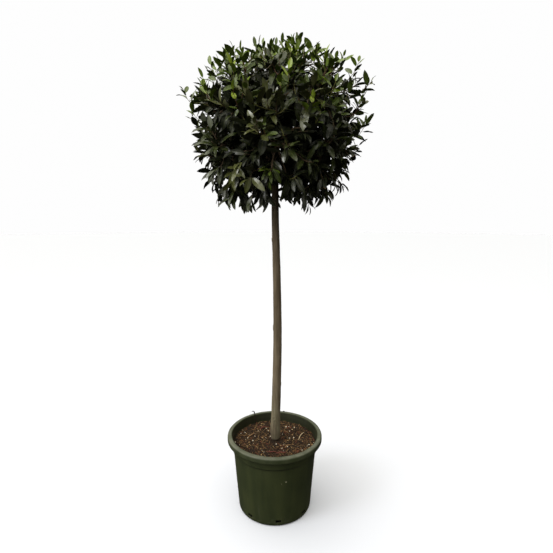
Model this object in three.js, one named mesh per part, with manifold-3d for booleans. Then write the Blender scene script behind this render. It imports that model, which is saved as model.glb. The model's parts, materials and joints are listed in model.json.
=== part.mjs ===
// A bay laurel grown as a standard: a round clipped head on one clear stem, in a round plastic nursery pot.
// Millimetres, +Z up. The origin is the centre of the pot's flat underside, and the front faces -Y.

import * as THREE from "three";
import { mergeVertices } from "three/addons/utils/BufferGeometryUtils.js";
import Module from "manifold-3d";

const wasm = await Module();
wasm.setup();

const TURN = 2 * Math.PI;
const GOLDEN_ANGLE = Math.PI * (3 - Math.sqrt(5));
const CLEARANCE = 0.3;
const SLIVER = 0.03;
const UP = new THREE.Vector3(0, 0, 1);

// Driving dimensions of the pot: rolled rim, collar under it, tapering wall, rounded foot with drain slots.
const POT = {
  height: 305,
  rimRadius: 190,
  rimDepth: 21,
  rimRound: 8,
  lipRound: 2.5,
  mouthRadius: 172,
  collarRadius: 170,
  collarFoot: 249,
  shoulderRadius: 165.5,
  shoulderHeight: 246,
  footRadius: 146,
  footCorner: 12,
  flare: 0.8,
  wall: 2.8,
  floor: 5.5,
  segments: 40,
};
const SLOT = { count: 8, width: 22, height: 10, middle: 23, reach: 34, phase: 0.096 };
const CHANNEL = { width: 14, depth: 2.5, from: 62, to: 150 };

// The compost's top, its bumps, and the level seat that the stem stands on.
const COMPOST = { level: 272, bump: 3.2, edgeDrop: 3, rings: [0.86, 0.6, 0.36], seatRadius: 24, seed: 11 };

// The stem: places of its axis, and radius by height above its foot.
const STEM_AXIS = [
  [3, 6, 0],
  [3, 6, 58],
  [7.4, 5, 200],
  [11.5, 3, 420],
  [9.5, 2, 630],
  [5.6, 1, 790],
  [2.8, 0, 900],
  [3, 1, 1030],
  [5, 2, 1140],
  [6, 1, 1226],
];
const STEM_RADII = [
  [0, 16.2],
  [14, 18.4],
  [40, 21.2],
  [62, 19.6],
  [110, 18],
  [420, 16.9],
  [630, 15.3],
  [890, 13.9],
  [1060, 12],
  [1140, 9.4],
  [1226, 6.2],
];
const STEM = { sides: 10, steps: 30, coreGap: 7, leafRoom: 24 };

// The head's outer shape: a squat ball, a little squarer above its waist than below.
const HEAD = {
  centre: [6, 0, 1470],
  halfWidth: 328,
  halfHeight: 290,
  upperPower: 2.45,
  lowerPower: 2.2,
  lean: 0.09,
  coreShare: 0.75,
  coreLump: 0.07,
  coreDetail: 3,
  coreGap: 0.7,
  cellGap: 0.35,
  hollow: { width: 168, height: 166, middle: -20, detail: 1 },
  seed: 23,
  seedStep: 101,
};

// Sides where the head stands out or in: the way they look and half width in degrees, and the change of reach.
const LOBES = [
  { azimuth: -5, elevation: 31, width: 19, change: 0.14 },
  { azimuth: -8, elevation: 74, width: 12, change: -0.1 },
  { azimuth: -172, elevation: 47, width: 14, change: -0.16 },
  { azimuth: -172, elevation: -4, width: 16, change: -0.18 },
  { azimuth: -172, elevation: -36, width: 14, change: 0.11 },
  { azimuth: -7, elevation: -12, width: 14, change: -0.13 },
  { azimuth: -8, elevation: -58, width: 22, change: 0.07 },
];

// The rings of foliage masses: how many, the way they look in degrees, and how their boughs leave the stem.
const RINGS = [
  { name: "lower", count: 5, elevation: -22, azimuth: -90, fork: 1050, forkStep: 12, radius: 6.4, rise: 5 },
  { name: "upper", count: 4, elevation: 31, azimuth: -60, fork: 1128, forkStep: 11, radius: 5.2, rise: -12 },
];
const BOUGH = { reach: 0.88, tipShare: 0.6, sides: 6, steps: 3 };
const STUB = { tipShare: 0.7, sides: 5, steps: 2, depth: 26 };

// The shoots that stand out of each core, and the leaves round them. Reaches are shares of the head's own.
const SHOOT = {
  count: 90,
  from: 0.68,
  to: 0.87,
  pull: 0.3,
  sag: 16,
  radius: 2.9,
  tipShare: 0.7,
  sides: 3,
  steps: 2,
  trunkAngle: 17,
};
const LEAF = {
  length: 88,
  spread: 0.16,
  widthShare: 0.37,
  keelShare: 0.026,
  waist: 0.36,
  shoulder: 0.7,
  shoulderWidth: 0.86,
  perShoot: 6,
  first: 0.56,
  last: 0.95,
  openBase: 66,
  openTip: 32,
  droop: 0.44,
  droopBelow: 0.35,
  lift: 0.3,
  faceOut: 0.6,
  faceUp: 0.5,
  sway: 0.5,
  sink: 0.4,
  rootShare: 0.06,
  room: 1.2,
  innermost: 0.76,
  apart: 14,
  tries: 12,
  overshoot: 1.06,
};

// Shoots that have outgrown the clipped shape, with the way that they look in degrees.
const STRAYS = [
  { azimuth: -52, elevation: 68, reach: 1.1 },
  { azimuth: -128, elevation: 34, reach: 1.08 },
  { azimuth: 179, elevation: 23, reach: 1.09 },
  { azimuth: -4, elevation: 4, reach: 1.1 },
  { azimuth: -42, elevation: 42, reach: 1.06 },
  { azimuth: 70, elevation: 40, reach: 1.06 },
  { azimuth: 150, elevation: 60, reach: 1.07 },
];

const COLOURS = {
  pot: { color: 0x2f3a24, roughness: 0.5, metalness: 0 },
  compost: { color: 0x4a3526, roughness: 0.95, metalness: 0 },
  bark: { color: 0x6d6252, roughness: 0.85, metalness: 0 },
  foliage: { color: 0x2c3d1a, roughness: 0.45, metalness: 0 },
};

// A repeatable run of numbers from 0 to 1.
function seeded(seed) {
  let state = seed >>> 0;
  return () => {
    state = (state + 0x6d2b79f5) >>> 0;
    let t = state;
    t = Math.imul(t ^ (t >>> 15), t | 1);
    t ^= t + Math.imul(t ^ (t >>> 7), t | 61);
    return ((t ^ (t >>> 14)) >>> 0) / 4294967296;
  };
}

// A direction from its azimuth about +Z and its elevation, both in radians.
function direction(azimuth, elevation) {
  const flat = Math.cos(elevation);
  return new THREE.Vector3(flat * Math.cos(azimuth), flat * Math.sin(azimuth), Math.sin(elevation));
}

// The value at x of a list of [place, value] pairs, with straight stretches between them.
function along(pairs, x) {
  const next = pairs.findIndex(([place]) => place > x);
  if (next < 0) return pairs[pairs.length - 1][1];
  if (next === 0) return pairs[0][1];
  const [a, valueA] = pairs[next - 1];
  const [b, valueB] = pairs[next];
  return THREE.MathUtils.lerp(valueA, valueB, (x - a) / (b - a));
}

// A geometry's places and faces alone, with each place kept once.
function welded(geometry) {
  const bare = new THREE.BufferGeometry().setAttribute("position", geometry.getAttribute("position"));
  if (geometry.index) bare.setIndex(geometry.index);
  return mergeVertices(bare, 1e-4);
}

// A closed three.js geometry as an exact solid that can be joined and cut.
function toSolid(geometry) {
  const merged = welded(geometry);
  const triangles = [];
  for (let i = 0; i < merged.index.count; i += 3) {
    const [a, b, c] = [0, 1, 2].map((k) => merged.index.getX(i + k));
    if (a !== b && b !== c && a !== c) triangles.push(a, b, c);
  }
  return new wasm.Manifold(
    new wasm.Mesh({
      numProp: 3,
      vertProperties: merged.attributes.position.array,
      triVerts: new Uint32Array(triangles),
    }),
  );
}

// The largest body of a solid as a geometry: slivers, loose scraps and sealed hollows are dropped.
function toGeometry(solid) {
  const largest = solid.decompose().reduce((a, b) => (a.volume() > b.volume() ? a : b));
  const { vertProperties, triVerts } = largest.simplify(SLIVER).getMesh();
  const indexed = new THREE.BufferGeometry();
  indexed.setAttribute("position", new THREE.BufferAttribute(vertProperties, 3));
  indexed.setIndex(new THREE.BufferAttribute(triVerts, 1));
  const faceted = indexed.toNonIndexed();
  faceted.computeVertexNormals();
  return faceted;
}

function subPart(name, geometry, look) {
  const mesh = new THREE.Mesh(geometry, new THREE.MeshStandardMaterial(COLOURS[look]));
  mesh.name = name;
  return mesh;
}

// A round section swept along a curve with a radius of its own at each place, and flat ends.
function limb(curve, radiusAt, sides, steps) {
  const geometry = new THREE.CylinderGeometry(1, 1, 1, sides, steps);
  const frames = curve.computeFrenetFrames(steps, false);
  const position = geometry.getAttribute("position");
  const vertex = new THREE.Vector3();
  for (let i = 0; i < position.count; i++) {
    vertex.fromBufferAttribute(position, i);
    const share = vertex.y + 0.5;
    const step = Math.round(share * steps);
    const radius = radiusAt(share);
    const place = curve
      .getPointAt(share)
      .addScaledVector(frames.normals[step], vertex.z * radius)
      .addScaledVector(frames.binormals[step], vertex.x * radius);
    position.setXYZ(i, place.x, place.y, place.z);
  }
  return geometry;
}

// A profile of [radius, height] points turned about +Z.
function turned(profile, segments) {
  const points = profile.map(([radius, height]) => new THREE.Vector2(radius, height));
  return new THREE.LatheGeometry(points, segments).rotateX(Math.PI / 2);
}

// Points of a quarter round from one place to another, bulging towards the corner between them.
function quarterRound(from, corner, to, steps) {
  const arc = new THREE.QuadraticBezierCurve(
    new THREE.Vector2(...from),
    new THREE.Vector2(...corner),
    new THREE.Vector2(...to),
  );
  return arc.getPoints(steps).map((p) => [p.x, p.y]);
}

// The pot's inner face from the floor's edge up to the rim, taken in by a gap.
function innerFace(gap) {
  const inset = POT.wall + gap;
  return [
    [POT.footRadius - POT.footCorner - inset, POT.floor + gap],
    [POT.footRadius - inset, POT.floor + POT.footCorner * 0.8],
    [POT.shoulderRadius - inset, POT.shoulderHeight - 2],
    [POT.collarRadius - inset, POT.collarFoot - 1],
  ];
}

function potSolid() {
  const { height, rimRadius, rimRound, lipRound, mouthRadius: mouth, footRadius, footCorner, flare } = POT;
  const lip = height - POT.rimDepth;
  const profile = [
    [0, 0],
    ...quarterRound([footRadius - footCorner, 0], [footRadius, 0], [footRadius + flare, footCorner], 3),
    [POT.shoulderRadius, POT.shoulderHeight],
    [POT.collarRadius, POT.collarFoot],
    [POT.collarRadius + flare, lip],
    ...quarterRound([rimRadius - lipRound, lip], [rimRadius, lip], [rimRadius, lip + lipRound], 2),
    ...quarterRound([rimRadius, height - rimRound], [rimRadius, height], [rimRadius - rimRound, height], 3),
    ...quarterRound([mouth + lipRound, height], [mouth, height], [mouth, height - lipRound], 2),
    [POT.collarRadius - POT.wall + flare, lip],
    ...innerFace(0).reverse(),
    [0, POT.floor],
  ];
  const body = toSolid(turned(profile, POT.segments));
  const cutters = Array.from({ length: SLOT.count }, (_, i) => {
    const angle = SLOT.phase - Math.PI / 2 + (i * TURN) / SLOT.count;
    const slot = new THREE.BoxGeometry(SLOT.reach, SLOT.width, SLOT.height)
      .translate(POT.footRadius, 0, SLOT.middle)
      .rotateZ(angle);
    const channel = new THREE.BoxGeometry(CHANNEL.to - CHANNEL.from, CHANNEL.width, 2 * CHANNEL.depth)
      .translate((CHANNEL.from + CHANNEL.to) / 2, 0, 0)
      .rotateZ(angle);
    return toSolid(slot).add(toSolid(channel));
  });
  return body.subtract(wasm.Manifold.union(cutters));
}

// The compost fills the pot up to its level, with a bumpy top and a level seat under the stem.
function compostSolid() {
  const edge = POT.collarRadius - POT.wall - CLEARANCE;
  const profile = [
    [0, POT.floor + CLEARANCE],
    ...innerFace(CLEARANCE),
    [edge, COMPOST.level - COMPOST.edgeDrop],
    ...COMPOST.rings.map((share) => [edge * share, COMPOST.level]),
    [COMPOST.seatRadius, COMPOST.level],
    [0, COMPOST.level],
  ];
  const geometry = welded(turned(profile, POT.segments));
  const [axisX, axisY] = STEM_AXIS[0];
  const random = seeded(COMPOST.seed);
  const position = geometry.getAttribute("position");
  for (let i = 0; i < position.count; i++) {
    const [x, y, z] = [position.getX(i), position.getY(i), position.getZ(i)];
    if (z < COMPOST.level - CLEARANCE) continue;
    if (Math.hypot(x, y) < COMPOST.seatRadius + CLEARANCE) {
      position.setXYZ(i, x + axisX, y + axisY, z);
    } else {
      position.setZ(i, z + (2 * random() - 0.7) * COMPOST.bump);
    }
  }
  return toSolid(geometry);
}

const stemCurve = new THREE.CatmullRomCurve3(
  STEM_AXIS.map(([x, y, height]) => new THREE.Vector3(x, y, COMPOST.level + CLEARANCE + height)),
);
const stemLength = STEM_AXIS[STEM_AXIS.length - 1][2];

// The stem's outline, grown by a gap so that what meets it can be cut clear of it.
function stemGeometry(gap) {
  return limb(stemCurve, (share) => along(STEM_RADII, share * stemLength) + gap, STEM.sides, STEM.steps);
}

// The place on the stem's axis at a height above its foot.
function stemAt(height) {
  return stemCurve.getPointAt(height / stemLength);
}

const headCentre = new THREE.Vector3(...HEAD.centre);
const stemTip = stemAt(stemLength).sub(headCentre);

const lobes = LOBES.map(({ azimuth, elevation, width, change }) => {
  const middle = direction(THREE.MathUtils.degToRad(azimuth), THREE.MathUtils.degToRad(elevation));
  return { middle, width: THREE.MathUtils.degToRad(width), change };
});

// How far the head reaches from its centre in a direction.
function headReach(way) {
  const power = way.z > 0 ? HEAD.upperPower : HEAD.lowerPower;
  const flat = Math.hypot(way.x, way.y) / HEAD.halfWidth;
  const high = Math.abs(way.z) / HEAD.halfHeight;
  const lean = 1 + HEAD.lean * way.x * Math.min(0, way.z);
  const swellOf = ({ middle, width, change }) => change * Math.exp(-((middle.angleTo(way) / width) ** 2));
  const swell = lobes.reduce((sum, lobe) => sum + swellOf(lobe), 1);
  return swell * lean * (flat ** power + high ** power) ** (-1 / power);
}

// How far the open space round the fork reaches from the head's centre in a direction.
function hollowReach(way) {
  const { width, height, middle } = HEAD.hollow;
  const flat = Math.hypot(way.x, way.y) / width;
  const high = way.z / height;
  const low = middle / height;
  const square = flat ** 2 + high ** 2;
  return (high * low + Math.sqrt((high * low) ** 2 + square * (1 - low ** 2))) / square;
}

// Each mass of foliage: its name, the way it looks from the head's centre, and where its stem starts.
const masses = [{ name: "foliage_top", way: UP.clone(), entry: stemTip.clone() }];
for (const ring of RINGS) {
  for (let i = 0; i < ring.count; i++) {
    const azimuth = THREE.MathUtils.degToRad(ring.azimuth) + (i * TURN) / ring.count;
    const way = direction(azimuth, THREE.MathUtils.degToRad(ring.elevation));
    const entry = way.clone().multiplyScalar(hollowReach(way) * BOUGH.reach);
    const place = `${ring.name}_${i + 1}`;
    masses.push({ name: `foliage_${place}`, bough: `bough_${place}`, way, entry, ring, i });
  }
}

// The bough's middle line in the head's frame: it leaves the stem, bends, and ends at its mass's entry.
function boughCurve({ ring, i, entry }) {
  const fork = stemAt(ring.fork + ring.forkStep * i).sub(headCentre);
  const middle = fork.clone().lerp(entry, 0.5);
  middle.z += ring.rise;
  return new THREE.CatmullRomCurve3([fork, middle, entry]);
}

// A radius that shrinks evenly to a share of itself at the far end.
function taper(radius, tipShare) {
  return (share) => THREE.MathUtils.lerp(radius, radius * tipShare, share);
}

function boughSolid(mass, stemCutter) {
  const radiusAt = taper(mass.ring.radius, BOUGH.tipShare);
  return toSolid(limb(boughCurve(mass), radiusAt, BOUGH.sides, BOUGH.steps)).subtract(stemCutter);
}

// A lumpy ball that follows the head's shape, for the cores.
function coreBall() {
  const geometry = welded(new THREE.IcosahedronGeometry(1, HEAD.coreDetail));
  const position = geometry.getAttribute("position");
  const random = seeded(HEAD.seed);
  const way = new THREE.Vector3();
  for (let i = 0; i < position.count; i++) {
    way.fromBufferAttribute(position, i).normalize();
    way.multiplyScalar(headReach(way) * HEAD.coreShare * (1 + HEAD.coreLump * (2 * random() - 1)));
    position.setXYZ(i, way.x, way.y, way.z);
  }
  return toSolid(geometry);
}

// The open space round the fork, where the boughs run.
function hollowBall() {
  const { width, height, middle, detail } = HEAD.hollow;
  const ball = new THREE.IcosahedronGeometry(1, detail);
  return toSolid(ball.scale(width, width, height).translate(0, 0, middle));
}

// Planes that keep each mass in its own space: one against each other mass, through the head's centre.
function cellPlanes(mass) {
  return masses.filter((other) => other !== mass).map((other) => mass.way.clone().sub(other.way).normalize());
}

function insideCell(planes, points) {
  return planes.every((normal) => points.every((point) => normal.dot(point) > HEAD.cellGap));
}

// The leaf: six points, flat above with a keel below, pointing along +Y with its upper side to +Z.
function leafPoints(length) {
  const waist = (length * LEAF.widthShare) / 2;
  const shoulder = waist * LEAF.shoulderWidth;
  const rise = length * LEAF.keelShare;
  return [
    [0, 0, 0],
    [-waist, LEAF.waist * length, rise],
    [waist, LEAF.waist * length, rise],
    [-shoulder, LEAF.shoulder * length, rise],
    [shoulder, LEAF.shoulder * length, rise],
    [0, length, 0],
  ].map((p) => new THREE.Vector3(...p));
}
const UPPER_FACES = [0, 2, 1, 1, 2, 4, 1, 4, 3, 3, 4, 5];
const LOWER_FACES = [5, 4, 2, 5, 2, 0, 5, 0, 1, 5, 1, 3];
const LEAF_EDGES = [
  [0, 1],
  [1, 3],
  [3, 5],
  [5, 4],
  [4, 2],
  [2, 0],
  [0, 5],
];

function leafSolid(points) {
  const geometry = new THREE.BufferGeometry();
  geometry.setAttribute("position", new THREE.Float32BufferAttribute(points.flatMap((p) => p.toArray()), 3));
  geometry.setIndex([...UPPER_FACES, ...LOWER_FACES]);
  return toSolid(geometry);
}

// Whether an edge of one leaf passes through the upper side of another.
function pierces(a, b) {
  const ray = new THREE.Ray();
  const hit = new THREE.Vector3();
  return LEAF_EDGES.some(([from, to]) => {
    ray.origin.copy(a[from]);
    ray.direction.subVectors(a[to], a[from]).normalize();
    const length = a[from].distanceTo(a[to]);
    for (let i = 0; i < UPPER_FACES.length; i += 3) {
      const corners = UPPER_FACES.slice(i, i + 3).map((k) => b[k]);
      if (ray.intersectTriangle(...corners, false, hit) && hit.distanceTo(a[from]) < length) return true;
    }
    return false;
  });
}

// The room that a leaf takes: its blade less the part at its root, raised, lowered and a little longer.
function leafRoom(points) {
  const [root, left, right, , , tip] = points;
  const upper = new THREE.Vector3().subVectors(right, root).cross(left.clone().sub(root)).normalize();
  const past = tip.clone().sub(root).setLength(LEAF.room);
  const blade = [root.clone().lerp(tip, LEAF.rootShare), ...points.slice(1, 5), tip.clone().add(past)];
  return [-LEAF.room, LEAF.room].map((offset) => blade.map((p) => p.clone().addScaledVector(upper, offset)));
}

// The frame of a leaf that points one way, with its upper side turned towards another.
function leafFrame(root, way, towards) {
  const side = new THREE.Vector3().crossVectors(way, towards).normalize();
  const upper = new THREE.Vector3().crossVectors(side, way);
  return new THREE.Matrix4().makeBasis(side, way, upper).setPosition(root);
}

// The ways that the shoots look: spread evenly over the head, but not round the stem, and then the strays.
function shootWays() {
  const ways = [];
  const steepest = -Math.cos(THREE.MathUtils.degToRad(SHOOT.trunkAngle));
  for (let i = 0; i < SHOOT.count; i++) {
    const z = 1 - (2 * (i + 0.5)) / SHOOT.count;
    if (z > steepest) ways.push({ way: direction(i * GOLDEN_ANGLE, Math.asin(z)), reach: 1 });
  }
  for (const { azimuth, elevation, reach } of STRAYS) {
    const way = direction(THREE.MathUtils.degToRad(azimuth), THREE.MathUtils.degToRad(elevation));
    ways.push({ way, reach });
  }
  return ways;
}

// A shoot's middle line: out of its mass's core, sagging in the middle, to its tip inside the head's outline.
function shootCurve(mass, way, reach) {
  const start = way.clone().lerp(mass.way, SHOOT.pull).normalize();
  start.multiplyScalar(headReach(start) * SHOOT.from);
  const end = way.clone().multiplyScalar(headReach(way) * reach * SHOOT.to);
  const middle = start.clone().lerp(end, 0.5);
  middle.z -= SHOOT.sag * (1 - Math.abs(way.z));
  return new THREE.CatmullRomCurve3([start, middle, end]);
}

// A leaf out of one side of a three-sided shoot, or null where none of its turns keeps to the mass's space.
function growLeaf({ curve, share, side, way, reach, random }, fits) {
  const root = curve.getPointAt(share);
  const axis = curve.getTangentAt(share);
  const length = LEAF.length * (1 + LEAF.spread * (2 * random() - 1));
  const opened = (share - LEAF.first) / (LEAF.last - LEAF.first);
  const open = THREE.MathUtils.degToRad(THREE.MathUtils.lerp(LEAF.openBase, LEAF.openTip, opened));
  const { normals } = curve.computeFrenetFrames(SHOOT.steps, false);
  const corner = normals[Math.round(share * SHOOT.steps)].clone().projectOnPlane(axis).normalize();
  for (let attempt = 0; attempt < LEAF.tries; attempt++) {
    const turn = ((side + attempt + 0.5) * TURN) / SHOOT.sides + (random() - 0.5) * LEAF.sway;
    const outward = corner.clone().applyAxisAngle(axis, turn);
    const leafWay = axis.clone().multiplyScalar(Math.cos(open)).addScaledVector(outward, Math.sin(open));
    leafWay.z += LEAF.lift * Math.max(0, way.z) - LEAF.droop * Math.max(0, LEAF.droopBelow - way.z);
    leafWay.normalize();
    const towards = axis.clone().addScaledVector(way, LEAF.faceOut).addScaledVector(UP, LEAF.faceUp);
    const from = root.clone().addScaledVector(leafWay, -LEAF.sink);
    const placed = leafPoints(length).map((p) => p.applyMatrix4(leafFrame(from, leafWay, towards)));
    if (fits(placed, reach)) return placed;
  }
  return null;
}

// The mass's core: its share of the lumpy ball, open round the fork and clear of the stem.
function coreSolid({ ball, hollow, wideStem }, planes) {
  const cell = planes.reduce((solid, normal) => solid.trimByPlane(normal.toArray(), HEAD.coreGap), ball);
  return cell.subtract(hollow).subtract(wideStem);
}

// The short stem that runs from the bough's tip, or the trunk's, into the core.
function stubSolid(mass, fromRadius) {
  const away = mass.ring ? boughCurve(mass).getTangentAt(1) : UP.clone();
  const start = mass.entry.clone().addScaledVector(away, CLEARANCE);
  const end = mass.way.clone().multiplyScalar(hollowReach(mass.way) + STUB.depth);
  const bend = start.clone().addScaledVector(away, start.distanceTo(end) / 3);
  const curve = new THREE.CatmullRomCurve3([start, bend, end]);
  return toSolid(limb(curve, taper(fromRadius, STUB.tipShare), STUB.sides, STUB.steps));
}

// A place's distance from the head's centre as a share of the head's reach that way.
function depthOf(place) {
  return place.length() / headReach(place.clone().normalize());
}

// A test that a leaf keeps to its mass's space, clear of the stem, the core and the leaves passed before.
function roomTest(planes) {
  const taken = [];
  const clash = (a, b) => a.some((blade) => b.some((other) => pierces(blade, other)));
  return (points, reach) => {
    const tip = points[5];
    const nearStem = (p) => p.z < 0 && Math.hypot(p.x - stemTip.x, p.y - stemTip.y) < STEM.leafRoom;
    if (!insideCell(planes, points) || points.some(nearStem)) return false;
    if (depthOf(tip) > LEAF.overshoot * reach) return false;
    if (points.slice(1).some((p) => depthOf(p) < LEAF.innermost)) return false;
    const near = taken.filter((other) => other.points[3].distanceTo(points[3]) < 2 * LEAF.length);
    if (near.some((other) => other.points[5].distanceTo(tip) < LEAF.apart)) return false;
    const room = leafRoom(points);
    if (near.some((other) => clash(room, other.room) || clash(other.room, room))) return false;
    taken.push({ points, room });
    return true;
  };
}

// One mass: its core and stem, with the shoots and leaves that find room fused on.
function massSolid(mass, shoots, shared, number) {
  const planes = cellPlanes(mass);
  const fits = roomTest(planes);
  const random = seeded(HEAD.seed + HEAD.seedStep * number);
  const stemRadius = mass.ring ? mass.ring.radius * BOUGH.tipShare : along(STEM_RADII, stemLength);
  const pieces = [coreSolid(shared, planes), stubSolid(mass, stemRadius)];
  for (const { way, reach } of shoots) {
    const curve = shootCurve(mass, way, reach);
    const phase = Math.floor(random() * SHOOT.sides);
    if (!insideCell(planes, curve.getPoints(2 * SHOOT.steps))) continue;
    const leaves = [];
    for (let k = 0; k < LEAF.perShoot; k++) {
      const share = THREE.MathUtils.lerp(LEAF.first, LEAF.last, k / (LEAF.perShoot - 1));
      const leaf = growLeaf({ curve, share, side: phase + k, way, reach, random }, fits);
      if (leaf) leaves.push(leafSolid(leaf));
    }
    if (!leaves.length) continue;
    const twig = limb(curve, taper(SHOOT.radius, SHOOT.tipShare), SHOOT.sides, SHOOT.steps);
    pieces.push(toSolid(twig), ...leaves);
  }
  return wasm.Manifold.union(pieces);
}

// Everything in the head's own frame, with its centre as origin.
function headGroup() {
  const group = new THREE.Group();
  group.position.copy(headCentre);
  const toHead = (geometry) => geometry.translate(-headCentre.x, -headCentre.y, -headCentre.z);
  const stemCutter = toSolid(toHead(stemGeometry(CLEARANCE)));
  const wideStem = toSolid(toHead(stemGeometry(STEM.coreGap)));
  const shared = { ball: coreBall(), hollow: hollowBall(), wideStem };
  const shoots = masses.map(() => []);
  for (const shoot of shootWays()) {
    const scores = masses.map((mass) => mass.way.dot(shoot.way));
    shoots[scores.indexOf(Math.max(...scores))].push(shoot);
  }
  masses.forEach((mass, number) => {
    if (mass.ring) group.add(subPart(mass.bough, toGeometry(boughSolid(mass, stemCutter)), "bark"));
    group.add(subPart(mass.name, toGeometry(massSolid(mass, shoots[number], shared, number)), "foliage"));
  });
  return group;
}

const bayStandard = new THREE.Group();
bayStandard.add(
  subPart("pot", toGeometry(potSolid()), "pot"),
  subPart("compost", toGeometry(compostSolid()), "compost"),
  subPart("trunk", toGeometry(toSolid(stemGeometry(0))), "bark"),
  headGroup(),
);

export default bayStandard;
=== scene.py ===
"""A bay laurel grown as a standard, in its nursery pot, dressed for its portrait.

Every length in the classes is in millimetres, as in the part's source, each mesh is in metres, and the
head grows by the source's rule: boughs leave the stem, main shoots spread evenly over the head, finer side
shoots leave those, and every shoot carries its leaves in a spiral. Geometry Nodes sweep the twigs, hang the
leaves and scatter the compost's bark.
"""

import json
import logging
import random
from abc import ABC, abstractmethod
from bisect import bisect_right
from collections.abc import Callable, Iterable, Mapping, Sequence
from dataclasses import dataclass, field
from enum import IntEnum
from itertools import accumulate, pairwise, product
from math import acos, asin, atan2, cos, degrees, exp, floor, hypot, pi, radians, remainder, sin, sqrt, tau
from typing import Any

import bmesh
import bpy
from mathutils import Matrix, Quaternion, Vector, noise

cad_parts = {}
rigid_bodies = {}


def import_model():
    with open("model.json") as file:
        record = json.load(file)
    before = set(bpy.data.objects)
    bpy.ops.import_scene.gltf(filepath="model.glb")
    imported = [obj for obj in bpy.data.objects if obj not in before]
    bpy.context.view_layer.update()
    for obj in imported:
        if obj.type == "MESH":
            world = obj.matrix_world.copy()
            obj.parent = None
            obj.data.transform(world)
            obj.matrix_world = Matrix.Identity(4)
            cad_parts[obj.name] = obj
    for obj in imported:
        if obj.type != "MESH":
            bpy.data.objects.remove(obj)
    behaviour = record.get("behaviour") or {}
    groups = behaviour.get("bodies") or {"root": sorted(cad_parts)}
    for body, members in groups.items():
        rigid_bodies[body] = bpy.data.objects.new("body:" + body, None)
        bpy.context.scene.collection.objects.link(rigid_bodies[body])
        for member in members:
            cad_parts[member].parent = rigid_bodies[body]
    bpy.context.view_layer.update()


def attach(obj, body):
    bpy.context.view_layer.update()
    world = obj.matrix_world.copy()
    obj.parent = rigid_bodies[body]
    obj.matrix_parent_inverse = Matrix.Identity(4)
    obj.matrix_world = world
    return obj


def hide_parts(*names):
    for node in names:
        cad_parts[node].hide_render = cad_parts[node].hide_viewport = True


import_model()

log = logging.getLogger("bay_standard")

MM = 0.001
GOLDEN_ANGLE = pi * (3.0 - sqrt(5.0))
UP = Vector((0.0, 0.0, 1.0))
ROOT = "root"

Colour = tuple[float, float, float, float]
Triple = tuple[float, float, float]
Pair = tuple[float, float]
Mesh = bpy.types.Mesh
Node = bpy.types.Node
Object = bpy.types.Object
Socket = bpy.types.NodeSocket


def tint(red: float, green: float, blue: float) -> Colour:
    """Return the linear colour that a screen shows as these three numbers out of 255."""
    shares = [part / 255.0 for part in (red, green, blue)]
    return (*(part / 12.92 if part <= 0.04045 else ((part + 0.055) / 1.055) ** 2.4 for part in shares), 1.0)


def lerp(low: float, high: float, share: float) -> float:
    """Return the number a share of the way from low to high."""
    return low + (high - low) * share


def direction(azimuth: float, elevation: float) -> Vector:
    """Return the unit vector at an azimuth about +Z and an elevation, both in radians."""
    flat = cos(elevation)
    return Vector((flat * cos(azimuth), flat * sin(azimuth), sin(elevation)))


def aimed(azimuth: float, elevation: float) -> Vector:
    """Return the unit vector at an azimuth about +Z and an elevation, both in degrees."""
    return direction(radians(azimuth), radians(elevation))


def angle_between(first: Vector, second: Vector) -> float:
    """Return the angle between two unit vectors in radians."""
    return acos(max(-1.0, min(1.0, first.dot(second))))


def rows(kind: Callable[..., Any], *values: Sequence[Any]) -> tuple[Any, ...]:
    """Return one of a kind for each row of values."""
    return tuple(kind(*row) for row in values)


def turns(count: int) -> list[float]:
    """Return the angles of a ring's evenly spaced places in radians."""
    return [k * tau / count for k in range(count)]


def along(pairs: Sequence[Pair], place: float) -> float:
    """Read a list of (place, value) pairs, with straight stretches between them.

    Args:
        pairs: The places, in rising order, and the value at each.
        place: Where to read.

    Returns:
        The value there, or the nearest end's value outside the list.
    """
    after = bisect_right([start for start, _ in pairs], place)
    if after in (0, len(pairs)):
        return pairs[min(after, len(pairs) - 1)][1]
    (start, low), (end, high) = pairs[after - 1], pairs[after]
    return lerp(low, high, (place - start) / (end - start))


def grain(place: Vector, scale: float) -> float:
    """Return smooth noise from about -1 to 1 at a place, with features about 1 / scale across."""
    return noise.noise(place * scale)


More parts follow.
